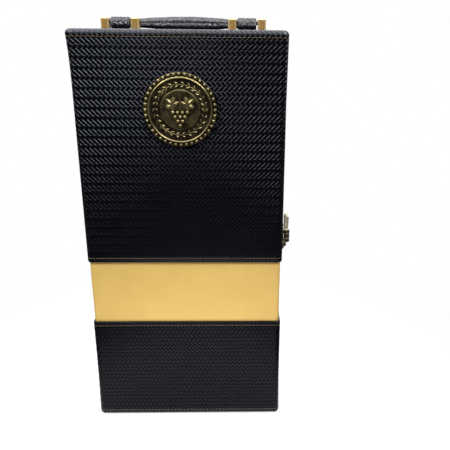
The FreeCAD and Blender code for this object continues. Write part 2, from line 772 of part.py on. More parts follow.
doc.recompute()
beads = medal_body.newObject("PartDesign::PolarPattern", "medal_beads")
beads.Originals = [bead]
beads.Axis = (turned, ["H_Axis"])
beads.Angle = 360.0
beads.setExpression("Occurrences", "round(Sizes.bead_count)")
medal_body.Tip = beads
doc.recompute()
node(medal_body, "medallion")

# Clasp plates: flat plates with a scalloped pointed end, mirrored about the seam.
plate_half = cell("clasp_plate_height") / 2
near = cell("clasp_setback")
far_end = near + cell("clasp_plate_length")
waist = near + cell("clasp_plate_length") * 0.45
tip_half = plate_half * 0.28


def clasp_plate(name, sign):
    """A plate with its straight end near the seam and an ogee end away from it."""
    body = new_body(name + "_body")
    face = open_sketch(body, name + "_face", "YZ_Plane", (seam, clasp_level, half_width))
    corners = [
        (sign * near, -plate_half),
        (sign * waist, -plate_half),
        (sign * (far_end - tip_half), -tip_half),
        (sign * (far_end - tip_half), tip_half),
        (sign * waist, plate_half),
        (sign * near, plate_half),
    ]
    bow = cell("clasp_plate_length") * 0.62
    nose = tip_half * 1.03
    rounds = {1: sign * bow, 2: sign * nose, 3: sign * bow}
    outline(face, corners, rounds)
    pad(body, name + "_pad", face, cell("clasp_plate_thick"))
    return body


# Clasp axis and knuckles; the middle knuckle belongs to the hasp.
clasp_x = half_width + cell("clasp_axis_out")
clasp_y = seam - cell("clasp_axis_front")
knuckle_low = clasp_level - cell("hasp_drop") - cell("clasp_knuckle") / 2
knuckle_high = knuckle_low + cell("clasp_knuckle")
ear_spans = (
    (knuckle_low - cell("clasp_gap") - cell("clasp_ear"), "lower"),
    (knuckle_high + cell("clasp_gap"), "upper"),
)
barrel_low = knuckle_low - cell("clasp_gap") - cell("clasp_ear")
barrel_length = cell("clasp_knuckle") + (cell("clasp_gap") + cell("clasp_ear")) * 2
clasp_bore = rod(
    "clasp_bore",
    (clasp_x, clasp_y, barrel_low - 1),
    "z",
    cell("clasp_pin_radius") + cell("nail_fit"),
    barrel_length + 2,
)
hinge_plate_parts = [clasp_plate("clasp_hinge_plate", -1.0)]
for start, tag in ear_spans:
    ear = rod(f"clasp_ear_{tag}", (clasp_x, clasp_y, start), "z", cell("clasp_barrel"), cell("clasp_ear"))
    web_low = (half_width + 0, clasp_y - cell("clasp_barrel") * 0.8, start)
    web_high = (clasp_x + 0, clasp_y + cell("clasp_barrel") * 0.8, start + cell("clasp_ear"))
    hinge_plate_parts.extend([ear, block(f"clasp_web_{tag}", web_low, web_high)])
riser_face = clasp_x - cell("clasp_barrel") - cell("clasp_gap") * 1.5
riser_low = (half_width + 0, clasp_y - cell("clasp_barrel") * 0.8, barrel_low)
riser_high = (riser_face, clasp_y + cell("clasp_barrel") * 0.8, barrel_low + barrel_length)
hinge_plate_parts.append(block("clasp_riser", riser_low, riser_high))
curl = cell("clasp_barrel")
curl_spots = (
    ("near", half_width + curl * 1.25, barrel_low - curl * 0.75, curl * 0.95),
    ("far", half_width + curl * 0.75, barrel_low - curl * 1.95, curl * 0.62),
    ("top", half_width + curl * 0.4, barrel_low + barrel_length + curl * 1.7, curl * 0.7),
)
for tag, x, z, radius in curl_spots:
    start = (x, clasp_y + curl, z)
    hinge_plate_parts.append(rod(f"clasp_curl_{tag}", start, "-y", radius, curl * 2))
hinge_plate = fuse("clasp_hinge_plate_whole", *hinge_plate_parts)
behind_wall = block(
    "clasp_wall_side",
    (half_width - FAR, seam - FAR, clasp_level - FAR),
    (half_width + 0, seam + FAR, clasp_level + FAR),
)
node(cut("clasp_hinge_plate_drilled", hinge_plate, clasp_bore, clasp_hinge_holes, behind_wall), "clasp_hinge_plate")
clasp_pin = rod("clasp_pin_bar", (clasp_x, clasp_y, barrel_low), "z", cell("clasp_pin_radius"), barrel_length)
node(clasp_pin, "clasp_pin")

# Catch plate with a domed stud that stands just short of the hasp.
tongue_in = clasp_x - cell("hasp_thick") / 2
stud_y = seam + cell("clasp_setback") + cell("clasp_plate_length") * 0.4
stud_z = clasp_level - cell("hasp_drop")
stud_top = tongue_in - cell("stud_clear")
stud_neck = stud_top - half_width - cell("stud_crown")
stud = rod("stud_neck", (half_width + 0, stud_y, stud_z), "x", cell("stud_radius"), stud_neck)
crown_base = (half_width + stud_neck, stud_y, stud_z)
dome = taper("stud_dome", crown_base, "x", cell("stud_radius"), cell("stud_radius") * 0.5, cell("stud_crown"))
catch = fuse("clasp_catch_whole", clasp_plate("clasp_catch_plate", 1.0), stud, dome)
node(cut("clasp_catch_drilled", catch, clasp_catch_holes), "clasp_catch_plate")

# Hasp: knuckle, tongue with a round window over the stud, and a thumb tab with a round swollen end.
hasp_body = new_body("hasp_tongue_body")
tongue_face = open_sketch(hasp_body, "hasp_face", "YZ_Plane", (clasp_y, stud_z, tongue_in))
tongue_half = cell("hasp_height") / 2
knuckle_half = cell("clasp_knuckle") / 2
tongue_end = cell("hasp_length") - tongue_half
shoulder = cell("clasp_barrel") + cell("clasp_gap") * 3
flank_end = shoulder + cell("hasp_flank")
tongue_corners = [
    (0, -knuckle_half),
    (shoulder, -knuckle_half),
    (flank_end, -tongue_half),
    (tongue_end, -tongue_half),
    (tongue_end, tongue_half),
    (flank_end, tongue_half),
    (shoulder, knuckle_half),
    (0, knuckle_half),
]
outline(tongue_face, tongue_corners, {3: tongue_half * 1.02})
pad(hasp_body, "hasp_tongue", tongue_face, cell("hasp_thick"))
knuckle = rod("hasp_knuckle", (clasp_x, clasp_y, knuckle_low), "z", cell("clasp_barrel"), cell("clasp_knuckle"))
window = rod(
    "hasp_window",
    (half_width + 0, stud_y, stud_z),
    "x",
    cell("stud_radius") * 0.8,
    cell("clasp_axis_out") * 2,
)
tab_body = new_body("hasp_tab_body")
tab_face = open_sketch(tab_body, "hasp_tab_face", "XZ_Plane", (tongue_in, stud_z, -(clasp_y + flank_end)))
tab_top = cell("tab_rise") + cell("hasp_drop")
tab_root = tongue_half - cell("tab_root")
thick = cell("hasp_thick")
lug = thick / 2 + cell("tab_swell")
lug_level = tab_top - lug
lug_middle = thick / 2 + cell("tab_flare")
tab_ease = cell("tab_swell") * 0.75
tab_corners = [
    (-tab_ease, tab_root),
    (thick + tab_ease, tab_root),
    (lug_middle + lug, lug_level),
    (lug_middle, tab_top),
    (lug_middle - lug, lug_level),
]
outline(tab_face, tab_corners, {2: lug, 3: lug})
pad(tab_body, "hasp_tab", tab_face, cell("hasp_height") * 0.85, back=True)
hasp = fuse("hasp_whole", hasp_body, knuckle, tab_body)
node(cut("hasp_drilled", hasp, clasp_bore, window), "clasp_hasp")

doc.recompute()
faults = []
for item in doc.Objects:
    if "Invalid" in item.State or "Error" in item.State:
        faults.append(f"{item.Name}: {item.State}")
for item in nodes:
    shape = item.Shape
    if shape.isNull() or not shape.isValid() or shape.Volume < 0.5 or not shape.Solids:
        faults.append(f"{item.Label}: no valid solid")
if faults:
    raise RuntimeError("; ".join(faults))
os.makedirs("parts", exist_ok=True)
for item in nodes:
    item.Shape.exportStep(f"parts/{item.Label}.step")
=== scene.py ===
"""Tall gift box: leatherette coverings, gold band, brass fittings and velvet inside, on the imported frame."""
import math

import bmesh
import bpy
from bpy.props import FloatProperty, FloatVectorProperty, IntProperty, PointerProperty
from bpy.types import Operator, Panel, PropertyGroup
from mathutils import Matrix, Vector, noise


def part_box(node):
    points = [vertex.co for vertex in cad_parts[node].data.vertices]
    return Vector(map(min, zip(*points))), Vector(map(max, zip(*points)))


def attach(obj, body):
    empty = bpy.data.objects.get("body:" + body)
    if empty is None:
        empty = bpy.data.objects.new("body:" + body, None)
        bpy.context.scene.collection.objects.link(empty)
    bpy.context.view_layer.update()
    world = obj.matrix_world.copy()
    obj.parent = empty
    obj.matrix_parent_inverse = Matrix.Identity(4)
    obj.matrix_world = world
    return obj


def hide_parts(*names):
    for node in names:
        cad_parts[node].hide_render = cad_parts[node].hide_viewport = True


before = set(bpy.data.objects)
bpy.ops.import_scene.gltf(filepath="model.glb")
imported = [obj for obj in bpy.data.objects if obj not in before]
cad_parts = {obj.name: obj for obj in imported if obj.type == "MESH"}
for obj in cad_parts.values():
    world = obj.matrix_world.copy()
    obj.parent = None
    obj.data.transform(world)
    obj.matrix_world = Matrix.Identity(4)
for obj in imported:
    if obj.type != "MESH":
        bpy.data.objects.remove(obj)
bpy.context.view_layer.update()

bl_info = {
    "name": "Tall Gift Box",
    "version": (1, 0, 0),
    "blender": (4, 5, 0),
    "location": "3D View > Sidebar > Gift Box",
    "description": "Dresses a tall gift box in woven leatherette, brass and velvet",
    "category": "Object",
}

MM = 0.001
HALVES = ("lid", "tray")

# Places read from the frame
BOX_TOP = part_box("lid_upper_wrap")[1].z
BAND_LOW, BAND_HIGH = (corner.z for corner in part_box("lid_band"))
HALF_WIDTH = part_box("lid_upper_wrap")[1].x
HALF_DEPTH = -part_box("lid_upper_wrap")[0].y
COVER_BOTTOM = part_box("lid_lower_wrap")[0].z
MEDALLION_LOW, MEDALLION_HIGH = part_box("medallion")

# Sizes shared by several pieces
COVER_ROUND = 3.5 * MM
BAND_ROUND = 2.3 * MM
CUT_GAP = 0.001 * MM
WELD_GAP = 0.002 * MM
GLUE_GAP = 0.001 * MM

# Parts of a noise's range: most of it, its peaks for the painted glints and its upper half for the painted
# highlight line
NOISE_SPAN = (0.3, 0.7)
GLINT_SPAN = (0.54, 0.68)
GLINT_LINE_SPAN = (0.46, 0.58)

# Slack of the coverings: how far it reaches in, down and up, and how far it stands off
FLARE_SIDE, FLARE_TOP, FLARE_FOOT = 15 * MM, 55 * MM, 45 * MM
SLACK_LEFT, SLACK_RIGHT, SLACK_FOOT = 2.0 * MM, 0.8 * MM, 0.8 * MM

# Where the painted highlight round the top rim starts and where it is full, in from the walls and down from
# the top
RIM_HIGHLIGHT_IN = (6 * MM, 3 * MM)
RIM_HIGHLIGHT_DOWN = (3.2 * MM, 0.6 * MM)

# How much further in the top and bottom stitch rows lie than the others
TOP_ROW_INSET, BOTTOM_ROW_INSET = 1.6 * MM, 0.8 * MM

# Greys of the painted glints on the leather, of the painted highlight round the top of the weave, and of the
# floor outside the light
GLINT_GREY = (0.44, 0.45, 0.49)
RIM_HIGHLIGHT_GREY = (0.1, 0.1, 0.108)
DARK_FLOOR = (0.02, 0.02, 0.022)


def along_y(node, half):
    """Rim and broad wall of a node of one half, as places along Y."""
    low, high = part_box(node)
    return (high.y, low.y) if half == "lid" else (low.y, high.y)


def angles(count):
    """Even angles round a circle."""
    return [2 * math.pi * step / count for step in range(count)]


def circle(radius, count):
    """Even places round a circle."""
    return [(radius * math.cos(angle), radius * math.sin(angle)) for angle in angles(count)]


def clamped(value):
    """A value held between 0 and 1."""
    return min(max(value, 0.0), 1.0)


# Node trees

def add(tree, kind, inputs=None, **settings):
    """Adds a node; each input is a socket to link from or a plain value."""
    node = tree.nodes.new(kind)
    for name, value in settings.items():
        setattr(node, name, value)
    for key, value in (inputs or {}).items():
        if isinstance(value, bpy.types.NodeSocket):
            tree.links.new(value, node.inputs[key])
        else:
            node.inputs[key].default_value = value
    return node


def calc(tree, operation, *values):
    """Output of one Math node."""
    return add(tree, "ShaderNodeMath", dict(enumerate(values)), operation=operation).outputs[0]


def times(tree, first, second):
    """Product of two values."""
    return calc(tree, "MULTIPLY", first, second)


def ranged(tree, value, low, high, to_low=0.0, to_high=1.0):
    """A value moved from one range to another, clamped."""
    return add(tree, "ShaderNodeMapRange", {0: value, 1: low, 2: high, 3: to_low, 4: to_high}).outputs[0]


def split(tree, place):
    """X, Y and Z of a place."""
    return add(tree, "ShaderNodeSeparateXYZ", {0: place}).outputs


def vector(tree, *values):
    """A vector of up to three values."""
    return add(tree, "ShaderNodeCombineXYZ", dict(enumerate(values))).outputs[0]


def cloud(tree, place, scale, detail=2.0, **more):
    """A noise value."""
    values = {"Vector": place, "Scale": scale, "Detail": detail, **more}
    return add(tree, "ShaderNodeTexNoise", values).outputs[0]


def new_tree(name, kind, inputs, outputs):
    """A node group; an input is given by a number or by the name of another kind of socket."""
    tree = bpy.data.node_groups.new(name, kind)
    for label, value in inputs.items():
        number = {float: "Float", int: "Int"}.get(type(value))
        item = tree.interface.new_socket(label, in_out="INPUT", socket_type=f"NodeSocket{number or value}")
        if number:
            item.default_value = value
    for label, socket in outputs.items():
        tree.interface.new_socket(label, in_out="OUTPUT", socket_type=f"NodeSocket{socket}")
    return tree, tree.nodes.new("NodeGroupInput").outputs, tree.nodes.new("NodeGroupOutput").inputs


def place_parts(tree):
    """X, Y and Z of each point of a mesh."""
    return split(tree, add(tree, "GeometryNodeInputPosition").outputs[0])


def flat_grid(tree, columns, rows):
    """A square mesh of two units."""
    values = {"Size X": 2.0, "Size Y": 2.0, "Vertices X": columns, "Vertices Y": rows}
    return add(tree, "GeometryNodeMeshGrid", values).outputs["Mesh"]


def marked(tree, geometry, name, value):
    """Geometry with a named value at each point."""
    values = {"Geometry": geometry, "Name": name, "Value": value}
    node = add(tree, "GeometryNodeStoreNamedAttribute", values, data_type="FLOAT", domain="POINT")
    return node.outputs[0]


def moved(tree, geometry, place):
    """Geometry with its points put elsewhere."""
    return add(tree, "GeometryNodeSetPosition", {"Geometry": geometry, "Position": place}).outputs[0]


def changed(tree, geometry, **values):
    """Geometry moved or scaled as a whole."""
    return add(tree, "GeometryNodeTransform", {"Geometry": geometry, **values}).outputs[0]


def copies(tree, points, instance, **values):
    """Copies of a piece on points."""
    values = {"Points": points, "Instance": instance, **values}
    return add(tree, "GeometryNodeInstanceOnPoints", values).outputs[0]


def ended(tree, laid, material, out):
    """The tree, ended with its copies as one mesh in a material."""
    real = add(tree, "GeometryNodeRealizeInstances", {0: laid}).outputs[0]
    dressed = add(tree, "GeometryNodeSetMaterial", {"Geometry": real, "Material": material})
    tree.links.new(dressed.outputs[0], out[0])
    return tree


# Objects and meshes

def linked(name, data):
    """An object in the scene."""
    item = bpy.data.objects.new(name, data)
    bpy.context.scene.collection.objects.link(item)
    return item


def applied(host, **options):
    """The mesh of a scratch object with its modifiers applied; the object goes."""
    depsgraph = bpy.context.evaluated_depsgraph_get()
    mesh = bpy.data.meshes.new_from_object(host.evaluated_get(depsgraph), depsgraph=depsgraph, **options)
    bpy.data.objects.remove(host)
    return mesh


def grown_mesh(name, tree, values, source=None):
    """The plain mesh that a geometry tree makes from a source mesh or curve."""
    host = linked(name, source or bpy.data.meshes.new(name))
    modifier = host.modifiers.new(name, "NODES")
    modifier.node_group = tree
    for item in tree.interface.items_tree:
        if item.in_out == "INPUT" and item.name in values:
            modifier[item.identifier] = values[item.name]
    mesh = applied(host, preserve_all_data_layers=True)
    mesh.name = name
    return mesh


def smooth(mesh, degrees=32.0):
    """Smooth shading with edges kept sharp past an angle."""
    mesh.shade_smooth()
    mesh.set_sharp_from_angle(angle=math.radians(degrees))
    return mesh


def weighted(mesh, limit=50.0):
    """Corner normals drawn to the broad faces round each corner, so that eased edges shade cleanly."""
    bm = bmesh.new()
    bm.from_mesh(mesh)
    least = math.cos(math.radians(limit))
    normals = []
    for face in bm.faces:
        for loop in face.loops:
            near = [other for other in loop.vert.link_faces if other.normal.dot(face.normal) > least]
            total = sum((other.normal * other.calc_area() for other in near), Vector())
            normals.append(total.normalized())
    bm.free()
    mesh.normals_split_custom_set(normals)
    return mesh


def mesh_from(name, bm):
    """Mesh data from a bmesh, which is freed."""
    mesh = bpy.data.meshes.new(name)
    bm.to_mesh(mesh)
    bm.free()
    return mesh


def loft(bm, rings, flip=False, caps=True):
    """Faces from ring to ring of vertices, and over both ends."""
    size = len(rings[0])
    for first, second in zip(rings, rings[1:]):
        for step in range(size):
            after = (step + 1) % size
            if flip:
                bm.faces.new((first[step], first[after], second[after], second[step]))
            else:
                bm.faces.new((first[step], second[step], second[after], first[after]))
    if caps:
        bm.faces.new(rings[0])
        bm.faces.new(rings[-1])


def cut(bm, place, way, **waste):
    """Cuts all of a mesh along a plane, and clears one side where asked."""
    everything = [*bm.verts, *bm.edges, *bm.faces]
    bmesh.ops.bisect_plane(bm, geom=everything, dist=CUT_GAP, plane_co=place, plane_no=way, **waste)


def add_piece(name, mesh, material, body, nodes=()):
    """Links a finished mesh as a piece that rides on a body and stands for its frame nodes."""
    piece = linked(name, mesh)
    mesh.materials.clear()
    mesh.materials.append(material)
    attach(piece, body)
    if nodes:
        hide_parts(*nodes)
    return piece


def joined(name, meshes):
    """One mesh from several, with their attributes."""
    parts = [linked(name, mesh) for mesh in meshes]
    with bpy.context.temp_override(
        active_object=parts[0], object=parts[0], selected_objects=parts, selected_editable_objects=parts
    ):
        bpy.ops.object.join()
    mesh = parts[0].data
    mesh.name = name
    bpy.data.objects.remove(parts[0])
    return mesh


def node_bmesh(node):
    """The merged solid of a frame node."""
    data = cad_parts[node].data
    bm = bmesh.new()
    verts = [bm.verts.new(vertex.co) for vertex in data.vertices]
    for polygon in data.polygons:
        bm.faces.new([verts[index] for index in polygon.vertices])
    bmesh.ops.remove_doubles(bm, verts=bm.verts, dist=WELD_GAP)
    bmesh.ops.dissolve_limit(bm, angle_limit=math.radians(0.5), verts=bm.verts, edges=bm.edges)
    return bm


def wear_faces(faces, wear):
    """Full wear on faces."""
    for face in faces:
        for loop in face.loops:
            loop[wear] = 1.0


def softened_mesh(node, width, segments=2, shortest=0.0, sharp=40.0):
    """A node's solid with its sharp edges eased; the eased strips carry the wear attribute."""
    bm = node_bmesh(node)
    wear = bm.loops.layers.float.new("wear")
    least = math.radians(sharp)
    edges = [
        edge
        for edge in bm.edges
        if edge.is_manifold and edge.calc_face_angle() > least and edge.calc_length() > shortest
    ]
    made = bmesh.ops.bevel(
        bm, geom=edges, offset=width, segments=segments, profile=0.5, affect="EDGES", clamp_overlap=True
    )
    wear_faces(made["faces"], wear)
    bmesh.ops.recalc_face_normals(bm, faces=bm.faces)
    return smooth(mesh_from(node, bm))


# Materials

def new_material(name):
    """A material, its tree, its shader and the object coordinates in metres."""
    material = bpy.data.materials.new(name)
    material.use_nodes = True
    tree = material.node_tree
    shader = next(node for node in tree.nodes if node.type == "BSDF_PRINCIPLED")
    return material, tree, shader, add(tree, "ShaderNodeTexCoord").outputs["Object"]


def dress(shader, **values):
    """Plain values and links on a shader's own sockets."""
    for name, value in values.items():
        socket = shader.inputs[name.replace("_", " ")]
        if isinstance(value, bpy.types.NodeSocket):
            shader.id_data.links.new(value, socket)
        else:
            socket.default_value = value


def dimmed(colour, share):
    """A colour made darker or paler."""
    return tuple(channel * share for channel in colour)


def between(tree, mask, low, high):
    """Colour between two, plain or linked, by a mask."""
    ends = [(*colour, 1) if isinstance(colour, tuple) else colour for colour in (low, high)]
    return add(tree, "ShaderNodeMix", {0: mask, 6: ends[0], 7: ends[1]}, data_type="RGBA").outputs[2]


def bump(tree, height, strength, distance):
    """A normal from a height."""
    values = {"Height": height, "Strength": strength, "Distance": distance}
    return add(tree, "ShaderNodeBump", values).outputs[0]


def attribute(tree, name):
    """A float attribute of the piece's own mesh."""
    return add(tree, "ShaderNodeAttribute", attribute_name=name).outputs["Fac"]


def group_node(tree, name, **values):
    """Outputs of a shader group."""
    return add(tree, "ShaderNodeGroup", values, node_tree=bpy.data.node_groups[name]).outputs


def shader_groups():
    """Leather grain, brass patina and pile, which the materials share."""
    kind = "ShaderNodeTree"
    values = {"Place": "Vector", "Pebble": 1400.0}
    tree, given, out = new_tree("leather_grain", kind, values, {"Height": "Float", "Shade": "Float"})
    place, pebble = given["Place"], given["Pebble"]
    values = {"Vector": place, "Scale": pebble, "Randomness": 0.9}
    cells = add(tree, "ShaderNodeTexVoronoi", values, feature="SMOOTH_F1").outputs["Distance"]
    fine = cloud(tree, place, times(tree, pebble, 2.2), detail=3.0)
    grains = calc(tree, "MULTIPLY_ADD", fine, 0.35, calc(tree, "SUBTRACT", 1.0, cells))
    tree.links.new(grains, out["Height"])
    tree.links.new(cloud(tree, place, scale=45.0, detail=4.0), out["Shade"])

    values = {"Place": "Vector", "Wear": 0.0, "Patch": 160.0}
    tree, given, out = new_tree("brass_patina", kind, values, {"Bare": "Float", "Height": "Float"})
    patch = cloud(tree, given["Place"], given["Patch"], detail=5.0)
    speck = cloud(tree, given["Place"], scale=1800.0)
    rubbed = calc(tree, "ADD", given["Wear"], ranged(tree, patch, 0.35, 0.7, to_low=-0.18, to_high=0.22))
    total = calc(tree, "ADD", rubbed, ranged(tree, speck, *NOISE_SPAN, to_low=-0.1, to_high=0.1))
    tree.links.new(ranged(tree, total, 0.0, 1.0), out["Bare"])
    tree.links.new(speck, out["Height"])

    values = {"Place": "Vector", "Brushing": 60.0}
    tree, given, out = new_tree("pile_nap", kind, values, {"Shade": "Float", "Height": "Float"})
    brush = cloud(tree, given["Place"], given["Brushing"], detail=3.0, Distortion=0.6)
    tree.links.new(ranged(tree, brush, *NOISE_SPAN), out["Shade"])
    tree.links.new(cloud(tree, given["Place"], scale=2600.0), out["Height"])


def woven_material(colour):
    """Black leatherette pressed into woven strands, darker in the grooves as painted shade, with a painted
    highlight round the top rim.
    """
    material, tree, shader, place = new_material("woven_leatherette")
    grain = group_node(tree, "leather_grain", Place=place, Pebble=2600.0)
    crown = attribute(tree, "crown")
    # Painted shade: the grooves, and the sheet between the strands, which has no crown, are darker than the
    # strands' crowns
    dyed = between(tree, crown, low=dimmed(colour, share=0.35), high=dimmed(colour, share=1.6))
    # Painted highlight round the top rim: the weave turns pale grey near the top edges all round, mostly on
    # the strands' crowns
    x, y, z = split(tree, place)
    rim_highlight_sides = [
        ranged(tree, calc(tree, "ABSOLUTE", axis), *(half - inset for inset in RIM_HIGHLIGHT_IN))
        for axis, half in ((x, HALF_WIDTH), (y, HALF_DEPTH))
    ]
    high = ranged(tree, z, *(BOX_TOP - drop for drop in RIM_HIGHLIGHT_DOWN))
    edge = times(tree, high, calc(tree, "MAXIMUM", *rim_highlight_sides))
    # rubbed is the mask of the painted highlight round the top rim, weaker in the grooves
    rubbed = times(tree, edge, ranged(tree, crown, 0.1, 0.8, to_low=0.1))
    dress(
        shader,
        Base_Color=between(tree, rubbed, dyed, RIM_HIGHLIGHT_GREY),
        Roughness=ranged(tree, grain["Shade"], *NOISE_SPAN, to_low=0.18, to_high=0.25),
        Normal=bump(tree, grain["Height"], strength=0.15, distance=0.05 * MM),
        Specular_IOR_Level=0.27,
        Specular_Tint=(0.78, 0.83, 1.0, 1.0),
    )
    return material


def gold_material(colour):
    """Smooth pearly gold leatherette."""
    material, tree, shader, place = new_material("gold_leatherette")
    grain = group_node(tree, "leather_grain", Place=place, Pebble=1500.0)
    deep = (colour[0] * 0.95, colour[1] * 0.93, colour[2] * 0.88)
    dress(
        shader,
        Base_Color=between(tree, ranged(tree, grain["Shade"], *NOISE_SPAN), deep, colour),
        Roughness=ranged(tree, grain["Shade"], *NOISE_SPAN, to_low=0.34, to_high=0.44),
        Normal=bump(tree, grain["Height"], strength=0.1, distance=0.05 * MM),
        Metallic=0.25,
    )
    return material


def fibre_material(name, colour, share, roughness, **texture):
    """Thread or fibreboard: one noise for its colour and its height."""
    material, tree, shader, place = new_material(name)
    fibre = cloud(tree, place, **texture)
    dyed = between(tree, fibre, dimmed(colour, share), colour)
    uneven = bump(tree, fibre, strength=0.4, distance=0.1 * MM)
    dress(shader, Base_Color=dyed, Normal=uneven, Roughness=roughness)
    return material


def brass_material(name, bare, dull, patch, metallic=1.0, low=None):
    """Brass that is bare where it is rubbed and dull elsewhere, with another tone low down."""
    material, tree, shader, place = new_material(name)
    patina = group_node(tree, "brass_patina", Place=place, Wear=attribute(tree, "wear"), Patch=patch)
    colour = between(tree, patina["Bare"], dull, bare)
    if low:
        tone, strength, bottom, top = low
        share = ranged(tree, split(tree, place)["Z"], bottom, top, strength, 0.0)
        colour = between(tree, share, colour, tone)
    dress(
        shader,
        Base_Color=colour,
        Roughness=ranged(tree, patina["Bare"], 0.0, 1.0, to_low=0.46, to_high=0.26),
        Normal=bump(tree, patina["Height"], strength=0.12, distance=0.05 * MM),
        Metallic=metallic,
    )
    return material


def leather_material(name, colour, pebble, roughness, rubbed=0.0, glint_line=None):
    """Plain dyed leather with a pebbled grain, with painted pale glints on its highest grains and a painted
    highlight line at one height.
    """
    material, tree, shader, place = new_material(name)
    grain = group_node(tree, "leather_grain", Place=place, Pebble=pebble)
    dyed = between(tree, ranged(tree, grain["Shade"], *NOISE_SPAN), colour, dimmed(colour, 1.7))
    # Painted glints: rubbed sets how pale the highest grains turn
    grains = cloud(tree, place, 1.8 * pebble)
    peaks = ranged(tree, grains, *GLINT_SPAN, to_high=rubbed)
    # Painted highlight line at one height along the grip
    if glint_line:
        height, reach = glint_line
        off = calc(tree, "ABSOLUTE", calc(tree, "SUBTRACT", split(tree, place)["Z"], height))
        streak = ranged(tree, off, 0.2 * reach, reach, 1.0, 0.0)
        peaks = calc(tree, "MAXIMUM", peaks, times(tree, streak, ranged(tree, grains, *GLINT_LINE_SPAN)))
    dress(
        shader,
        Base_Color=between(tree, peaks, dyed, GLINT_GREY),
        Roughness=ranged(tree, grain["Shade"], *NOISE_SPAN, *roughness),
        Normal=bump(tree, grain["Height"], strength=0.6, distance=0.14 * MM),
    )
    return material


def pile_material(name, colour, brushing):
    """Flock or velvet with a soft sheen at its edges."""
    material, tree, shader, place = new_material(name)
    nap = group_node(tree, "pile_nap", Place=place, Brushing=brushing)
    dress(
        shader,
        Base_Color=between(tree, nap["Shade"], colour, dimmed(colour, 1.9)),
        Normal=bump(tree, nap["Height"], strength=0.5, distance=0.15 * MM),
        Roughness=0.9,
        Sheen_Weight=0.6,
        Sheen_Roughness=0.35,
    )
    return material


# Coverings

class WallPath:
    """Plan of one half of the box along its covering: side wall, corner, broad wall, corner, side wall."""

    def __init__(self, half, part, half_width, radius):
        self.rim_y, broad_y = along_y(f"{half}_{part}", half)
        self.way = 1 if broad_y > self.rim_y else -1
        self.radius = radius
        self.half_width = half_width
        self.depth = abs(broad_y - self.rim_y)
        self.leg = self.depth - radius
        self.arc = radius * math.pi / 2
        self.flat = half_width - radius
        self.reach = self.flat + self.arc + self.leg

    def plan(self, across, deep):
        """Place in plan from a distance across the broad wall and a depth from the rim."""
        return Vector((-self.way * across, self.rim_y + self.way * deep))

    def place(self, along, out):
        """Place in plan at a length from the middle of the broad wall, and a height above the wall."""
        side = math.copysign(1, along)
        rest = abs(along) - self.flat
        if rest <= 0:
            return self.plan(along, self.depth + out)
        if rest < self.arc:
            turn = rest / self.radius
            reach = self.radius + out
            return self.plan(side * (self.flat + reach * math.sin(turn)), self.leg + reach * math.cos(turn))
        return self.plan(side * (self.half_width + out), self.leg - (rest - self.arc))

    def corner_stops(self, steps):
        """Lengths at which a covering is creased round both corners."""
        stops = [self.flat + self.arc * count / steps for count in range(steps + 1)]
        return stops + [-stop for stop in stops]


def weave_tree():
    """Flat herringbone of raised strands: X along the wall, Y up, Z out of it."""
    sizes = {"Cloth Width": 0.3, "Cloth Height": 0.2, "Strand Width": 2.75 * MM, "Relief": 0.35 * MM}
    sockets = {**sizes, "Edge": 0.5 * MM, "Leatherette": "Material"}
    tree, given, out = new_tree("herringbone_weave", "GeometryNodeTree", sockets, {"Weave": "Geometry"})
    width, edge = given["Strand Width"], given["Edge"]
    inner, lower, slope = 0.9, (-0.5, 0.0), 0.2
    spot = place_parts(tree)
    inside = [calc(tree, "LESS_THAN", calc(tree, "ABSOLUTE", spot[axis]), inner) for axis in (0, 1)]
    steep = ranged(tree, spot[1], *lower, to_low=0.25)
    eased = (edge, times(tree, edge, steep))
    groove = times(tree, edge, ranged(tree, spot[1], *lower, to_low=0.85, to_high=0.0))
    halves = (width, calc(tree, "SUBTRACT", times(tree, width, 0.5), groove))
    sides = []
    for axis in (0, 1):
        reach = calc(tree, "SUBTRACT", halves[axis], times(tree, inside[axis], eased[axis]))
        sides.append(times(tree, calc(tree, "SIGN", spot[axis]), reach))
    ridge = calc(tree, "SUBTRACT", 1.0, times(tree, calc(tree, "ABSOLUTE", spot[1]), slope))
    crown = times(tree, times(tree, *inside), ridge)
    sheet = marked(tree, flat_grid(tree, 4, 5), "crown", crown)
    strand = moved(tree, sheet, vector(tree, *sides, times(tree, crown, given["Relief"])))
    pitch = times(tree, width, math.sqrt(2))
    rise = times(tree, pitch, 2.0)
    lattice = add(tree, "GeometryNodeMeshGrid")
    for axis, cloth, step in (("X", "Cloth Width", pitch), ("Y", "Cloth Height", rise)):
        count = calc(tree, "CEIL", calc(tree, "DIVIDE", given[cloth], step))
        tree.links.new(times(tree, count, step), lattice.inputs[f"Size {axis}"])
        tree.links.new(calc(tree, "ADD", count, 1.0), lattice.inputs[f"Vertices {axis}"])
    points = lattice.outputs["Mesh"]
    shifted = changed(tree, points, Translation=vector(tree, times(tree, pitch, 0.5), pitch))
    both = add(tree, "GeometryNodeJoinGeometry")
    for spots, turn in ((points, -45.0), (shifted, 45.0)):
        tree.links.new(copies(tree, spots, strand, Rotation=(0, 0, math.radians(turn))), both.inputs[0])
    return ended(tree, both.outputs[0], given["Leatherette"], out)


def cut_cloth(cloth, low, high, creases=(), rows=()):
    """A piece of flat cloth between two corners, creased along X and Y where it will bend."""
    bm = bmesh.new()
    bm.from_mesh(cloth)
    ways = ((1, 0, 0), (0, 1, 0))
    for way in ways:
        cut(bm, (*low, 0), way, clear_inner=True)
        cut(bm, (*high, 0), way, clear_outer=True)
    for way, stops in zip(ways, (creases, rows)):
        for stop in stops:
            cut(bm, Vector(way) * stop, way)
    return bm


def pressed(level, rows, depth, spread):
    """How far a row of stitches pulls the covering in at a level."""
    return sum(depth * math.exp(-(((level - row) / spread) ** 2)) for row in rows)


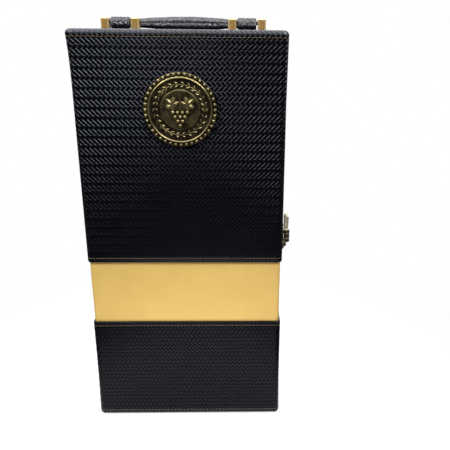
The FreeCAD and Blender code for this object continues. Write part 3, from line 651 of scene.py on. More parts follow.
def rolled(gap, radius):
    """How far a folded hem has rolled in at a gap from its edge."""
    if gap >= radius:
        return 0.0
    return radius - math.sqrt(max(radius**2 - (radius - gap) ** 2, 0.0))


def flared(place):
    """A point of a covering with the slack of its side walls, which stand off near the top and the ground."""
    x, y, z = place
    side = clamped((abs(x) - HALF_WIDTH + FLARE_SIDE) / FLARE_SIDE)
    rise = clamped((z - BOX_TOP + FLARE_TOP) / FLARE_TOP)
    fall = clamped(1 - z / FLARE_FOOT)
    slack = SLACK_LEFT * rise**3 if x < 0 else SLACK_RIGHT * rise
    return (x + math.copysign(side * side * (slack + SLACK_FOOT * fall**1.3), x), y, z)


# Settings

def length(label, text, size):
    """A length, given in millimetres."""
    return FloatProperty(name=label, description=text, default=size * MM, unit="LENGTH", precision=5)


def dye(label, text, value):
    """A colour."""
    return FloatVectorProperty(name=label, description=text, default=value, subtype="COLOR", size=3)


def turned(label, text, degrees):
    """An angle, given in degrees."""
    return FloatProperty(name=label, description=text, default=math.radians(degrees), subtype="ANGLE")


class GIFTBOX_PG_weave(PropertyGroup):
    """Woven black leatherette."""

    strand_width: length("Strand Width", "Width of a woven strand", 2.74)
    relief: length("Relief", "Height of a strand above its grooves", 0.35)
    edge: length("Edge", "Width of a strand's eased edge", 0.42)
    hem: length("Hem", "Radius of the folded hem", 0.9)
    colour: dye("Colour", "Dye of the leatherette", (0.0009, 0.001, 0.0014))
    sheet_colour: dye("Base Colour", "Plain sheet under the box", (0.015, 0.015, 0.016))


class GIFTBOX_PG_band(PropertyGroup):
    """Gold band."""

    colour: dye("Colour", "Gold of the band", (0.965, 0.645, 0.194))
    wave: length("Wave", "Slight unevenness of the glued band", 0.12)
    wall: length("Wall", "Thickness of the band", 0.6)


class GIFTBOX_PG_stitching(PropertyGroup):
    """Stitch rows along the hems."""

    pitch: length("Pitch", "Length from one stitch to the next", 3.1)
    length: length("Length", "Length of a stitch", 2.5)
    thread: length("Thread", "Thickness of the thread", 0.48)
    inset: length("Inset", "Distance from a hem to its stitches", 3.8)
    colour: dye("Colour", "Thread colour", (0.22, 0.135, 0.085))


class GIFTBOX_PG_medallion(PropertyGroup):
    """Round brass medallion."""

    beads: IntProperty(name="Beads", description="Beads round the rim", default=40, min=12, max=80)
    bead_radius: length("Bead Radius", "Radius of a bead", 1.45)
    leaves: IntProperty(name="Leaves", description="Small leaves in the wreath", default=52, min=8, max=80)
    grape_radius: length("Grape Radius", "Radius of a grape", 1.6)
    bare: dye("Bare Brass", "Brass where it is rubbed", (0.42, 0.34, 0.15))
    dull: dye("Dull Brass", "Brass where it is tarnished", (0.02, 0.014, 0.0065))
    # Redder brass towards the bottom of the plate
    ruddy: dye("Ruddy Brass", "Tarnish low on the plate", (0.036, 0.017, 0.01))
    metallic: FloatProperty(
        name="Metallic", description="Bareness of the metal", default=0.8, min=0.0, max=1.0
    )


class GIFTBOX_PG_handle(PropertyGroup):
    """Padded leather handle and its brass posts."""

    colour: dye("Leather", "Dye of the leather", (0.006, 0.006, 0.008))
    voxel: length("Skin", "Mesh size of the leather skin", 0.42)
    post_bare: dye("Post Edges", "Brass at the rubbed edges", (0.68, 0.53, 0.26))
    post_dull: dye("Post Faces", "Brass on the faces", (0.37, 0.21, 0.052))
    post_edge: length("Post Edge", "Width of the eased edges", 1.1)


class GIFTBOX_PG_fittings(PropertyGroup):
    """Hinges, clasp and their nails."""

    # Bare brass also stands as a painted highlight on the clasp's upward faces
    bare: dye("Bare Brass", "Brass where it is rubbed", (0.82, 0.76, 0.56))
    dull: dye("Dull Brass", "Brass where it is tarnished", (0.06, 0.047, 0.024))
    edge: length("Edge", "Width of the eased edges", 0.25)


class GIFTBOX_PG_inside(PropertyGroup):
    """Flock lining, velvet pads and boards."""

    flock: dye("Flock", "Colour of the lining", (0.03, 0.028, 0.03))
    velvet: dye("Velvet", "Colour of the pads", (0.025, 0.022, 0.026))
    board: dye("Board", "Colour of the boards", (0.45, 0.33, 0.22))
    give: length("Give", "Furthest that a pad swells", 2.4)


class GIFTBOX_PG_stage(PropertyGroup):
    """Camera, floor and lamps."""

    lens: FloatProperty(name="Lens", description="Focal length", default=44.084, unit="CAMERA")
    pitch: turned("Pitch", "Downward tilt of the camera", 18.861)
    yaw: turned("Yaw", "Turn of the camera", -1.531)
    roll: turned("Roll", "Roll of the camera", 0.547)
    place: FloatVectorProperty(
        name="Place",
        description="Place of the camera",
        default=(0.04591, -0.50251, 0.34107),
        subtype="TRANSLATION",
    )
    shift: FloatVectorProperty(
        name="Shift", description="Lens shift that frames the picture", default=(-0.0587, 0.0129), size=2
    )
    floor: dye("Floor", "Colour of the floor", (0.86, 0.86, 0.87))


def stitch_levels(settings):
    """Levels of the four stitch rows: along the top, both sides of the band and the bottom."""
    inset = settings.inset
    top = BOX_TOP - inset - TOP_ROW_INSET
    return (top, BAND_HIGH + inset, BAND_LOW - inset, COVER_BOTTOM + inset + BOTTOM_ROW_INSET)


class GIFTBOX_OT_coverings(Operator):
    """Builds the four woven coverings"""

    bl_idname = "giftbox.coverings"
    bl_label = "Woven Coverings"

    QUARTER = COVER_ROUND * math.pi / 4
    ROW_STEPS = (-0.8 * MM, 0.0, 0.8 * MM)
    CORNER_STEPS = 5
    TURN_UNDER = 1.3 * QUARTER
    SHORTEST_EDGE = 20 * MM
    PRESS_SHARE = 0.5
    PRESS_SPREAD = 0.6 * MM
    SHARP = 20
    # Cuts of the sheet where it stands off: below the top, above the ground and in from the walls, in mm
    BELOW_TOP = (3.5, 8, 14, 22, 32, 44)
    ABOVE_GROUND = (4, 12, 22, 34)
    FROM_WALLS = (4, 7, 11)

    def execute(self, context):
        weave = context.scene.giftbox_weave
        rows = stitch_levels(context.scene.giftbox_stitching)
        material = woven_material(tuple(weave.colour))
        longest = WallPath("tray", "upper_wrap", HALF_WIDTH, COVER_ROUND)
        values = {
            "Cloth Width": 2 * longest.reach,
            "Cloth Height": BOX_TOP - BAND_HIGH + COVER_ROUND,
            "Strand Width": weave.strand_width,
            "Relief": weave.relief,
            "Edge": weave.edge,
            "Leatherette": material,
        }
        cloth = grown_mesh("woven_cloth", weave_tree(), values)
        for half in HALVES:
            self.cover(half, "upper_wrap", cloth, weave, rows[:2], material)
            self.cover(half, "lower_wrap", cloth, weave, rows[2:], material)
        bpy.data.meshes.remove(cloth)
        return {"FINISHED"}

    def cover(self, half, part, cloth, weave, rows, material):
        """One covering: the folded sheet and the woven strands on its walls, and on its top."""
        path = WallPath(half, part, HALF_WIDTH, COVER_ROUND)
        upper = part == "upper_wrap"
        low = BAND_HIGH if upper else COVER_BOTTOM + COVER_ROUND - self.TURN_UNDER
        high = BOX_TOP - COVER_ROUND + self.QUARTER if upper else BAND_LOW
        middle = (low + high) / 2
        shift = round(middle / (weave.strand_width * math.sqrt(8))) * weave.strand_width * math.sqrt(8)
        creases = [row + step - shift for row in rows for step in self.ROW_STEPS]
        first = Vector((-path.reach, low - shift))
        last = Vector((path.reach, high - shift))
        walls = cut_cloth(cloth, first, last, path.corner_stops(self.CORNER_STEPS), creases)
        for vertex in walls.verts:
            along, level, out = vertex.co
            vertex.co = self.on_wall(path, along, level + shift, out, upper, rows, weave.hem)
        meshes = [self.sheet(f"{half}_{part}", weave.hem), smooth(mesh_from("walls", walls), self.SHARP)]
        if upper:
            meshes.append(self.top_weave(path, cloth, weave))
        for mesh in meshes:
            for vertex in mesh.vertices:
                vertex.co = flared(vertex.co)
        name = f"{half}_{'upper' if upper else 'lower'}_covering"
        add_piece(name, joined(name, meshes), material, half, [f"{half}_{part}"])

    def sheet(self, node, hem):
        """The plain folded sheet under the weave, cut where it stands off the walls."""
        bm = bmesh.new()
        bm.from_mesh(softened_mesh(node, hem, segments=3, shortest=self.SHORTEST_EDGE))
        levels = [BOX_TOP - step * MM for step in self.BELOW_TOP]
        levels += [step * MM for step in self.ABOVE_GROUND]
        for level in levels:
            cut(bm, (0, 0, level), (0, 0, 1))
        for side in (-1, 1):
            for step in self.FROM_WALLS:
                cut(bm, (side * (HALF_WIDTH - step * MM), 0, 0), (1, 0, 0))
        return smooth(mesh_from(node, bm))

    def on_wall(self, path, along, level, out, upper, rows, hem):
        """Place of a point of the weave on the walls, rolled in at its hem and turned over at its edge."""
        band_edge = level - BAND_HIGH if upper else BAND_LOW - level
        rim_edge = path.reach - abs(along)
        out -= self.PRESS_SHARE * pressed(level, rows, out, self.PRESS_SPREAD)
        out -= rolled(band_edge, hem) + rolled(rim_edge, hem)
        edge = BOX_TOP if upper else COVER_BOTTOM
        inward = -1 if upper else 1
        start = edge + inward * COVER_ROUND
        past = (level - start) * -inward
        if past > 0:
            turn = past / COVER_ROUND
            level = start - inward * (COVER_ROUND + out) * math.sin(turn)
            out = (COVER_ROUND + out) * math.cos(turn) - COVER_ROUND
        return (*path.place(along, out), level)

    def top_weave(self, path, cloth, weave):
        """The weave over the top, with its eased edges."""
        half_deep = path.leg / 2
        turns = (0, self.QUARTER / 2)
        sheet = cut_cloth(
            cloth,
            Vector((-path.flat - self.QUARTER, -half_deep - self.QUARTER)),
            Vector((path.flat + self.QUARTER, half_deep)),
            [side * (path.flat + turn) for side in (-1, 1) for turn in turns],
            [-half_deep - turn for turn in turns],
        )
        for vertex in sheet.verts:
            across, level, out = vertex.co
            deep = half_deep - level
            reach = COVER_ROUND + out - rolled(deep, weave.hem)
            lean_across = max(abs(across) - path.flat, 0.0) / COVER_ROUND
            lean_deep = max(deep - path.leg, 0.0) / COVER_ROUND
            far = min(abs(across), path.flat) + reach * math.sin(lean_across)
            forth = min(deep, path.leg) + reach * math.sin(lean_deep) * math.cos(lean_across)
            height = BOX_TOP - COVER_ROUND + reach * math.cos(lean_across) * math.cos(lean_deep)
            vertex.co = (*path.plan(math.copysign(far, across), forth), height)
        return smooth(mesh_from("top", sheet), self.SHARP)


class GIFTBOX_OT_band(Operator):
    """Builds the gold band of each half"""

    bl_idname = "giftbox.band"
    bl_label = "Gold Band"

    SPACING = 3.5 * MM
    LEVELS = 16
    CORNER_STEPS = 8
    SHARP = 50
    EDGE = 0.25 * MM
    FADE = 8 * MM
    WAVES = 28

    def execute(self, context):
        band = context.scene.giftbox_band
        material = gold_material(tuple(band.colour))
        for half in HALVES:
            mesh = self.sleeve(half, band)
            add_piece(f"{half}_gold_band", mesh, material, half, [f"{half}_band"])
        return {"FINISHED"}

    def sleeve(self, half, band):
        """A thin sleeve round three walls, slightly uneven, closed at its ends and edges."""
        path = WallPath(half, "band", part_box("lid_band")[1].x, BAND_ROUND)
        count = round(2 * path.reach / self.SPACING)
        even = {-path.reach + 2 * path.reach * step / count for step in range(count + 1)}
        levels = [BAND_LOW + (BAND_HIGH - BAND_LOW) * step / self.LEVELS for step in range(self.LEVELS + 1)]
        bm = bmesh.new()
        rings = []
        for along in sorted(even | set(path.corner_stops(self.CORNER_STEPS))):
            ring = []
            for level in levels:
                fade = min(level - BAND_LOW, BAND_HIGH - level, self.FADE) / self.FADE
                out = band.wave * noise.noise(Vector((along, level, 0)) * self.WAVES) * fade
                if level in (levels[0], levels[-1]):
                    out = -self.EDGE
                ring.append(bm.verts.new((*path.place(along, out), level)))
            for level in reversed(levels):
                ring.append(bm.verts.new((*path.place(along, -band.wall), level)))
            rings.append(ring)
        loft(bm, rings)
        bmesh.ops.recalc_face_normals(bm, faces=bm.faces)
        return smooth(mesh_from(f"{half}_gold_band", bm), self.SHARP)


def stitch_tree():
    """Stitches laid end to end along curves."""
    sizes = {"Pitch": 0.003, "Length": 0.0025, "Thickness": 0.0005}
    sockets = {"Rows": "Geometry", **sizes, "Thread": "Material"}
    tree, given, out = new_tree("stitch_row", "GeometryNodeTree", sockets, {"Stitches": "Geometry"})
    values = {"Curve": given["Rows"], "Length": given["Pitch"]}
    points = add(tree, "GeometryNodeResampleCurve", values, mode="LENGTH").outputs[0]
    bead = add(tree, "GeometryNodeMeshUVSphere", {"Segments": 6, "Rings": 6, "Radius": 0.5}).outputs[0]
    size = vector(tree, given["Thickness"], given["Thickness"], given["Length"])
    tangent = add(tree, "GeometryNodeInputTangent").outputs[0]
    way = add(tree, "FunctionNodeAlignRotationToVector", {"Vector": tangent}, axis="Z").outputs[0]
    laid = copies(tree, points, changed(tree, bead, Scale=size), Rotation=way)
    return ended(tree, laid, given["Thread"], out)


def path_curve(name, lines):
    """Curve data with one open run for each list of points."""
    curve = bpy.data.curves.new(name, "CURVE")
    curve.dimensions = "3D"
    for line in lines:
        spline = curve.splines.new("POLY")
        spline.points.add(len(line) - 1)
        for point, place in zip(spline.points, line):
            point.co = (*place, 1)
    return curve


class GIFTBOX_OT_stitching(Operator):
    """Builds the stitch rows of both halves"""

    bl_idname = "giftbox.stitching"
    bl_label = "Stitching"

    LIFT = 0.22 * MM
    END_GAP = 2 * MM
    CORNER_STEPS = 8
    SHARP = 80

    def execute(self, context):
        settings = context.scene.giftbox_stitching
        dyed = tuple(settings.colour)
        material = fibre_material("stitch_thread", dyed, share=0.55, roughness=0.6, scale=1500.0)
        tree = stitch_tree()
        values = {
            "Pitch": settings.pitch,
            "Length": settings.length,
            "Thickness": settings.thread,
            "Thread": material,
        }
        for half in HALVES:
            lines = []
            for level in stitch_levels(settings):
                part = "upper_wrap" if level > BAND_HIGH else "lower_wrap"
                path = WallPath(half, part, HALF_WIDTH, COVER_ROUND)
                ends = [side * (path.reach - self.END_GAP) for side in (-1, 1)]
                stops = sorted(ends + path.corner_stops(self.CORNER_STEPS))
                lines.append([flared((*path.place(stop, self.LIFT), level)) for stop in stops])
            name = f"{half}_stitching"
            mesh = grown_mesh(name, tree, values, path_curve(name, lines))
            add_piece(name, smooth(mesh, self.SHARP), material, half)
        return {"FINISHED"}


class GIFTBOX_OT_fittings(Operator):
    """Builds the hinges, the clasp and their nails"""

    bl_idname = "giftbox.fittings"
    bl_label = "Hinges and Clasp"

    GROUPS = {
        "tray": (
            "upper_hinge_tray_leaf", "lower_hinge_tray_leaf", "upper_hinge_pin", "lower_hinge_pin",
            "tray_hinge_nails", "clasp_catch_plate", "clasp_catch_nails",
        ),
        "lid": (
            "upper_hinge_lid_leaf", "lower_hinge_lid_leaf", "lid_hinge_nails",
            "clasp_hinge_plate", "clasp_pin", "clasp_hinge_nails",
        ),
        "hasp": ("clasp_hasp",),
    }
    HEAD_HEIGHT = 0.75 * MM
    HEAD_SINK = 0.25 * MM
    HEAD_SHARP = 60
    TAB_LIFT = 2.0 * MM
    # Upward faces turn bare as a painted highlight; the tab turns bare as wear
    HIGHLIGHT_UPWARD = 0.85
    WEAR_AND_HIGHLIGHT = 0.85

    def execute(self, context):
        fittings = context.scene.giftbox_fittings
        colours = (tuple(fittings.bare), tuple(fittings.dull))
        material = brass_material("antique_brass", *colours, patch=220.0, metallic=0.6)
        domes = dome_tree()
        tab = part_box("clasp_pin")[1].z + self.TAB_LIFT
        for body, nodes in self.GROUPS.items():
            for node in nodes:
                if node.endswith("nails"):
                    mesh = self.heads(node, domes, material)
                else:
                    mesh = weighted(softened_mesh(node, fittings.edge))
                    if node.startswith("clasp"):
                        self.rub_and_highlight(mesh, tab)
                add_piece(f"{node}_brass", mesh, material, body, [node])
        return {"FINISHED"}

    def rub_and_highlight(self, mesh, tab):
        """Bare metal on the upward faces as a painted highlight, and on the tab that fingers lift as wear."""
        wear = mesh.attributes["wear"]
        for polygon in mesh.polygons:
            if polygon.normal.z > self.HIGHLIGHT_UPWARD or polygon.center.z > tab:
                for corner in polygon.loop_indices:
                    wear.data[corner].value = self.WEAR_AND_HIGHLIGHT

    def heads(self, node, domes, material):
        """Domed heads of a row of nails on a side wall."""
        bm = node_bmesh(node)
        left = set(bm.verts)
        places = []
        while left:
            island = [left.pop()]
            for vertex in island:
                near = [edge.other_vert(vertex) for edge in vertex.link_edges]
                fresh = [other for other in near if other in left]
                left.difference_update(fresh)
                island.extend(fresh)
            deep = [vertex.co.y for vertex in island]
            tall = [vertex.co.z for vertex in island]
            outer = max((vertex.co.x for vertex in island), key=abs)
            radius = (max(deep) - min(deep)) / 2
            side = math.copysign(1.0, outer)
            places.append((side * (max(deep) + min(deep)) / 2, (max(tall) + min(tall)) / 2, 0, 1.0))
        bm.free()
        values = {"Radius": radius, "Height": self.HEAD_HEIGHT, "Metal": material}
        mesh = grown_mesh(node, domes, values, point_mesh(f"{node}_points", places))
        turn = Matrix(((0, 0, side, 0), (side, 0, 0, 0), (0, 1, 0, 0), (0, 0, 0, 1)))
        mesh.transform(Matrix.Translation((outer - side * self.HEAD_SINK, 0, 0)) @ turn)
        return smooth(mesh, self.HEAD_SHARP)


def dome_tree():
    """Low domes on points, each as large as its point says."""
    sockets = {"Points": "Geometry", "Radius": 0.001, "Height": 0.001, "Metal": "Material"}
    tree, given, out = new_tree("domes_on_points", "GeometryNodeTree", sockets, {"Domes": "Geometry"})
    ball = add(tree, "GeometryNodeMeshUVSphere", {"Segments": 12, "Rings": 8, "Radius": 1.0}).outputs["Mesh"]
    ball = marked(tree, ball, "wear", ranged(tree, place_parts(tree)[2], 0.2, 1.0, to_low=0.06, to_high=0.8))
    dome = changed(tree, ball, Scale=vector(tree, given["Radius"], given["Radius"], given["Height"]))
    share = add(tree, "GeometryNodeInputNamedAttribute", {"Name": "size"}, data_type="FLOAT").outputs[0]
    return ended(tree, copies(tree, given["Points"], dome, Scale=share), given["Metal"], out)


def wreath_tree():
    """Pairs of small ribbed leaves round a ring, one leaning in and one leaning out."""
    leaf = {"Leaf Length": 4 * MM, "Leaf Width": 2 * MM, "Leaf Height": 0.7 * MM, "Lean": 0.6}
    sockets = {"Leaves": 24, "Ring Radius": 20 * MM, "Spread": 1 * MM, **leaf, "Metal": "Material"}
    tree, given, out = new_tree("leaf_wreath", "GeometryNodeTree", sockets, {"Wreath": "Geometry"})
    x, y, _ = place_parts(tree)
    narrow = calc(tree, "SUBTRACT", 1.0, calc(tree, "POWER", calc(tree, "ABSOLUTE", x), 1.6))
    swell = calc(tree, "SQRT", calc(tree, "MAXIMUM", narrow, 0.0))
    ridge = calc(tree, "SUBTRACT", 1.0, calc(tree, "POWER", calc(tree, "ABSOLUTE", y), 1.5))
    rise = times(tree, swell, ridge)
    grid = flat_grid(tree, 7, 5)
    sheet = marked(tree, grid, "wear", ranged(tree, rise, 0.1, 0.9, to_low=0.05, to_high=0.7))
    run = times(tree, x, times(tree, given["Leaf Length"], 0.5))
    wide = times(tree, times(tree, y, swell), times(tree, given["Leaf Width"], 0.5))
    leaf = moved(tree, sheet, vector(tree, run, wide, times(tree, rise, given["Leaf Height"])))
    index = add(tree, "GeometryNodeInputIndex").outputs[0]
    pair = calc(tree, "FLOOR", times(tree, index, 0.5))
    angle = times(tree, calc(tree, "DIVIDE", pair, given["Leaves"]), 4 * math.pi)
    turns = calc(tree, "SUBTRACT", times(tree, calc(tree, "MODULO", index, 2.0), 2.0), 1.0)
    ring = calc(tree, "ADD", given["Ring Radius"], times(tree, turns, given["Spread"]))
    place = vector(tree, *(times(tree, calc(tree, way, angle), ring) for way in ("COSINE", "SINE")))
    points = add(tree, "GeometryNodePoints", {"Count": given["Leaves"], "Position": place}).outputs[0]
    ahead = calc(tree, "ADD", angle, math.pi / 2)
    heading = calc(tree, "SUBTRACT", ahead, times(tree, turns, given["Lean"]))
    laid = copies(tree, points, leaf, Rotation=vector(tree, 0.0, 0.0, heading))
    return ended(tree, laid, given["Metal"], out)


def point_mesh(name, places):
    """Loose points with a size each, from (x, y, z, size)."""
    mesh = bpy.data.meshes.new(name)
    mesh.from_pydata([place[:3] for place in places], [], [])
    sizes = mesh.attributes.new("size", "FLOAT", "POINT")
    for point, place in zip(sizes.data, places):
        point.value = place[3]
    return mesh


def worn_loft(name, rings, sharp=None, flip=False, outward=False):
    """A mesh through rings of (x, y, z, wear), with both ends closed."""
    bm = bmesh.new()
    wear = bm.verts.layers.float.new("wear")
    rows = []
    for ring in rings:
        row = []
        for *place, rubbed in ring:
            vertex = bm.verts.new(place)
            vertex[wear] = rubbed
            row.append(vertex)
        rows.append(row)
    loft(bm, rows, flip, caps=False)
    bm.faces.new(rows[-1] if flip else rows[0])
    bm.faces.new(reversed(rows[0] if flip else rows[-1]))
    if outward:
        bmesh.ops.recalc_face_normals(bm, faces=bm.faces)
    mesh = mesh_from(name, bm)
    return smooth(mesh, sharp) if sharp else mesh


def turned_plate(name, profile, segments):
    """A turned plate from (radius, height, wear), from its outer edge to its middle."""
    rings = [
        [(*spot, height, rubbed) for spot in circle(radius, segments)] for radius, height, rubbed in profile
    ]
    return worn_loft(name, rings, 40, flip=True)


def vine_leaf_mesh(name, size, height):
    """A five-lobed leaf with raised veins; its stalk is at the origin and its tip along X."""
    lobes = ((0.0, 1.0), (62.0, 0.86), (-62.0, 0.86), (122.0, 0.62), (-122.0, 0.62))
    shares = (0.3, 0.55, 0.78, 0.92, 1.0, 1.0)
    steps = 90
    lobe_spread, vein_spread = 26.0, 9.0
    core, lobed, notched, notches = 0.4, 0.6, 0.035, 15
    rings = []
    for share in shares:
        skirt = len(rings) == len(shares) - 1
        ring = []
        for step in range(steps):
            turn = 360.0 * step / steps
            gaps = [abs((turn - lobe + 180) % 360 - 180) for lobe, _ in lobes]
            reach = max(lobe[1] * math.exp(-((gap / lobe_spread) ** 2)) for gap, lobe in zip(gaps, lobes))
            radius = size * (core + lobed * reach + notched * math.cos(math.radians(turn * notches)))
            vein = math.exp(-((min(gaps) / vein_spread) ** 2))
            lift = height * ((1 - share**2) * 0.35 + 0.3 + 0.5 * vein * (1.15 - share))
            angle = math.radians(turn)
            place = (radius * share * math.cos(angle), radius * share * math.sin(angle))
            ring.append((*place, 0.0, 0.05) if skirt else (*place, lift, 0.46 + 0.45 * vein))
        rings.append(ring)
    return worn_loft(name, rings, 50)


class GIFTBOX_OT_medallion(Operator):
    """Builds the medallion: a turned plate with beads, a leaf wreath and a bunch of grapes"""

    bl_idname = "giftbox.medallion"
    bl_label = "Medallion"

    FIELD = 1.6 * MM
    BAND = 1.3 * MM
    BEAD_RING = 27.95 * MM
    BEAD_LEVEL = 1.2 * MM
    WREATH_RING = 19.9 * MM
    GRAPE_ROWS = (4, 3, 2, 1)
    GRAPE_STEP = 3.85 * MM
    # Places along the stem, in millimetres
    STEM_RUN = ((0, -1.0), (0.3, 4.0), (0.1, 8.2), (-0.2, 12.6))
    STEM_RADIUS = 0.42 * MM
    STEM_SIDES = 8
    GRAPE_TOP = -1.9 * MM
    GRAPE_NEST = 0.9
    GRAPE_LIFT = 0.35 * MM
    GRAPE_JOLT = 0.25 * MM
    JOLT_SCALE = 900
    LEAF_SIZE = 6.6 * MM
    LEAF_HEIGHT = 1.5 * MM
    LEAF_TURN = 52
    LEAF_ACROSS, LEAF_UP, LEAF_SINK = 5.7 * MM, 4.4 * MM, 0.05 * MM
    PLATE_SIDES = 120
    RELIEF_SHARP = 55
    # Redder tone towards the bottom of the plate: its share and its height
    RUDDY_SHARE = 0.5
    RUDDY_HEIGHT = 24 * MM
    # Radius, height and wear of the turned plate, in millimetres, from its edge inwards
    PROFILE = (
        (29.0, 0.0, 0.05), (29.3, 0.3, 0.1), (29.3, 0.9, 0.15), (29.0, 1.2, 0.2), (26.6, 1.2, 0.02),
        (26.2, 1.3, 0.1), (25.8, 2.0, 0.45), (25.3, 2.3, 0.75), (24.8, 2.0, 0.4), (24.4, 1.35, 0.05),
        (22.4, 1.3, 0.03), (20.25, 1.3, 0.04), (19.9, 1.6, 0.4), (19.55, 1.3, 0.04), (16.6, 1.3, 0.03),
        (16.0, 1.35, 0.05), (15.6, 1.7, 0.22), (15.3, 1.8, 0.3), (15.0, 1.75, 0.2), (14.6, 1.62, 0.12),
        (9.0, 1.6, 0.13), (4.0, 1.6, 0.13), (0.4, 1.6, 0.13),
    )

    def execute(self, context):
        medallion = context.scene.giftbox_medallion
        bottom = MEDALLION_LOW.z
        low = (tuple(medallion.ruddy), self.RUDDY_SHARE, bottom, bottom + self.RUDDY_HEIGHT)
        colours = (tuple(medallion.bare), tuple(medallion.dull))
        metal = {"patch": 130.0, "metallic": medallion.metallic, "low": low}
        material = brass_material("medallion_brass", *colours, **metal)
        profile = [(radius * MM, height * MM, rubbed) for radius, height, rubbed in self.PROFILE]
        domes = dome_tree()
        values = {
            "Leaves": medallion.leaves,
            "Ring Radius": self.WREATH_RING,
            "Spread": 1.35 * MM,
            "Leaf Length": 3.5 * MM,
            "Leaf Width": 1.35 * MM,
            "Leaf Height": 0.6 * MM,
            "Lean": math.radians(30),
            "Metal": material,
        }
        wreath = grown_mesh("medallion_wreath", wreath_tree(), values)
        wreath.transform(Matrix.Translation((0, 0, self.BAND)))
        reliefs = [
            self.domed("bead", domes, medallion.bead_radius, material, self.beads(medallion.beads)),
            self.domed("grape", domes, medallion.grape_radius, material, self.grapes()),
            wreath,
            self.leaf(-1),
            self.leaf(1),
            self.stem(),
        ]
        for mesh in reliefs:
            smooth(mesh, self.RELIEF_SHARP)
        plate = turned_plate("medallion_plate", profile, self.PLATE_SIDES)
        mesh = joined("medallion_relief", [plate, *reliefs])
        middle = (MEDALLION_LOW + MEDALLION_HIGH) / 2
        middle.y = MEDALLION_HIGH.y
        mesh.transform(Matrix.Translation(middle) @ Matrix.Rotation(math.pi / 2, 4, "X"))
        add_piece("medallion_relief", mesh, material, "lid", ["medallion"])
        return {"FINISHED"}

    def domed(self, name, domes, radius, material, places):
        """Round domes at places."""
        values = {"Radius": radius, "Height": radius, "Metal": material}
        return grown_mesh(f"medallion_{name}s", domes, values, point_mesh(f"{name}_points", places))

    def beads(self, count):
        """Places of the beads round the rim."""
        return [(*spot, self.BEAD_LEVEL, 1.0) for spot in circle(self.BEAD_RING, count)]

    def grapes(self):
        """Places of the grapes, in rows that narrow to the tip, each a little out of line."""
        places = []
        for row, count in enumerate(self.GRAPE_ROWS):
            level = self.GRAPE_TOP - row * self.GRAPE_STEP * self.GRAPE_NEST
            for grape in range(count):
                across = (grape - (count - 1) / 2) * self.GRAPE_STEP
                jolt = self.GRAPE_JOLT * noise.noise(Vector((across, level, 0)) * self.JOLT_SCALE)
                fill = 1.0 - 0.25 * abs(across) / (2 * self.GRAPE_STEP)
                height = self.FIELD + self.GRAPE_LIFT * fill
                places.append((across + jolt, level + jolt, height, 0.92 + 0.12 * fill))
        return places

    def leaf(self, side):
        """One vine leaf beside the stem."""
        mesh = vine_leaf_mesh("vine_leaf", self.LEAF_SIZE, self.LEAF_HEIGHT)
        turn = Matrix.Rotation(math.radians(90 - side * self.LEAF_TURN), 4, "Z")
        place = (side * self.LEAF_ACROSS, self.LEAF_UP, self.FIELD - self.LEAF_SINK)
        mesh.transform(Matrix.Translation(place) @ turn)
        return mesh

    def stem(self):
        """The stem that rises from the bunch."""
        rings = []
        for x, y in self.STEM_RUN:
            ring = []
            for wide, tall in circle(self.STEM_RADIUS, self.STEM_SIDES):
                rubbed = 0.2 + 0.4 * max(tall / self.STEM_RADIUS, 0.0)
                ring.append((x * MM + wide, y * MM, self.FIELD + tall, rubbed))
            rings.append(ring)
        return worn_loft("vine_stem", rings, flip=True, outward=True)


class StrapPath:
    """Plan of the handle: two legs, two bends and a straight grip behind them."""

    BEND = 15.0 * MM
    BEND_STEPS = 8
    GRIP_STEPS = 16

    def __init__(self, grip_width):
        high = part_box("handle")[1]
        pin_low, pin_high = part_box("left_handle_pin")
        bracket_low, bracket_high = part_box("left_handle_bracket")
        self.pin = (pin_low + pin_high) / 2
        self.leg_x = -(bracket_low.x + bracket_high.x) / 2
        self.loop_half = high.x - self.leg_x
        self.grip_half_width = grip_width / 2
        self.grip_y = high.y - self.grip_half_width
        self.bend = self.BEND
        self.half_grip = self.leg_x - self.bend
        self.leg_end = self.grip_y - self.bend

    def stops(self):
        """Middle of the strap, its heading and how far it swells, from one end to the other."""
        turns = [math.pi / 2 * step / self.BEND_STEPS for step in range(self.BEND_STEPS + 1)]
        yield Vector((-self.leg_x, self.pin.y)), 0.0, 0.0
        for turn in turns:
            spot = (-self.half_grip - self.bend * math.cos(turn), self.leg_end + self.bend * math.sin(turn))
            yield Vector(spot), turn, 0.0
        for step in range(1, self.GRIP_STEPS):
            share = -1 + 2 * step / self.GRIP_STEPS
            yield Vector((self.half_grip * share, self.grip_y)), math.pi / 2, 1 - share * share
        for turn in turns:
            spot = (self.half_grip + self.bend * math.sin(turn), self.leg_end + self.bend * math.cos(turn))
            yield Vector(spot), math.pi / 2 + turn, 0.0
        yield Vector((self.leg_x, self.pin.y)), math.pi, 0.0

    def offset(self, place):
        """Signed distance of a point in plan from the middle of the strap."""
        across = abs(place.x)
        if across <= self.half_grip:
            return place.y - self.grip_y
        if place.y > self.leg_end:
            return math.hypot(across - self.half_grip, place.y - self.leg_end) - self.bend
        return across - self.leg_x


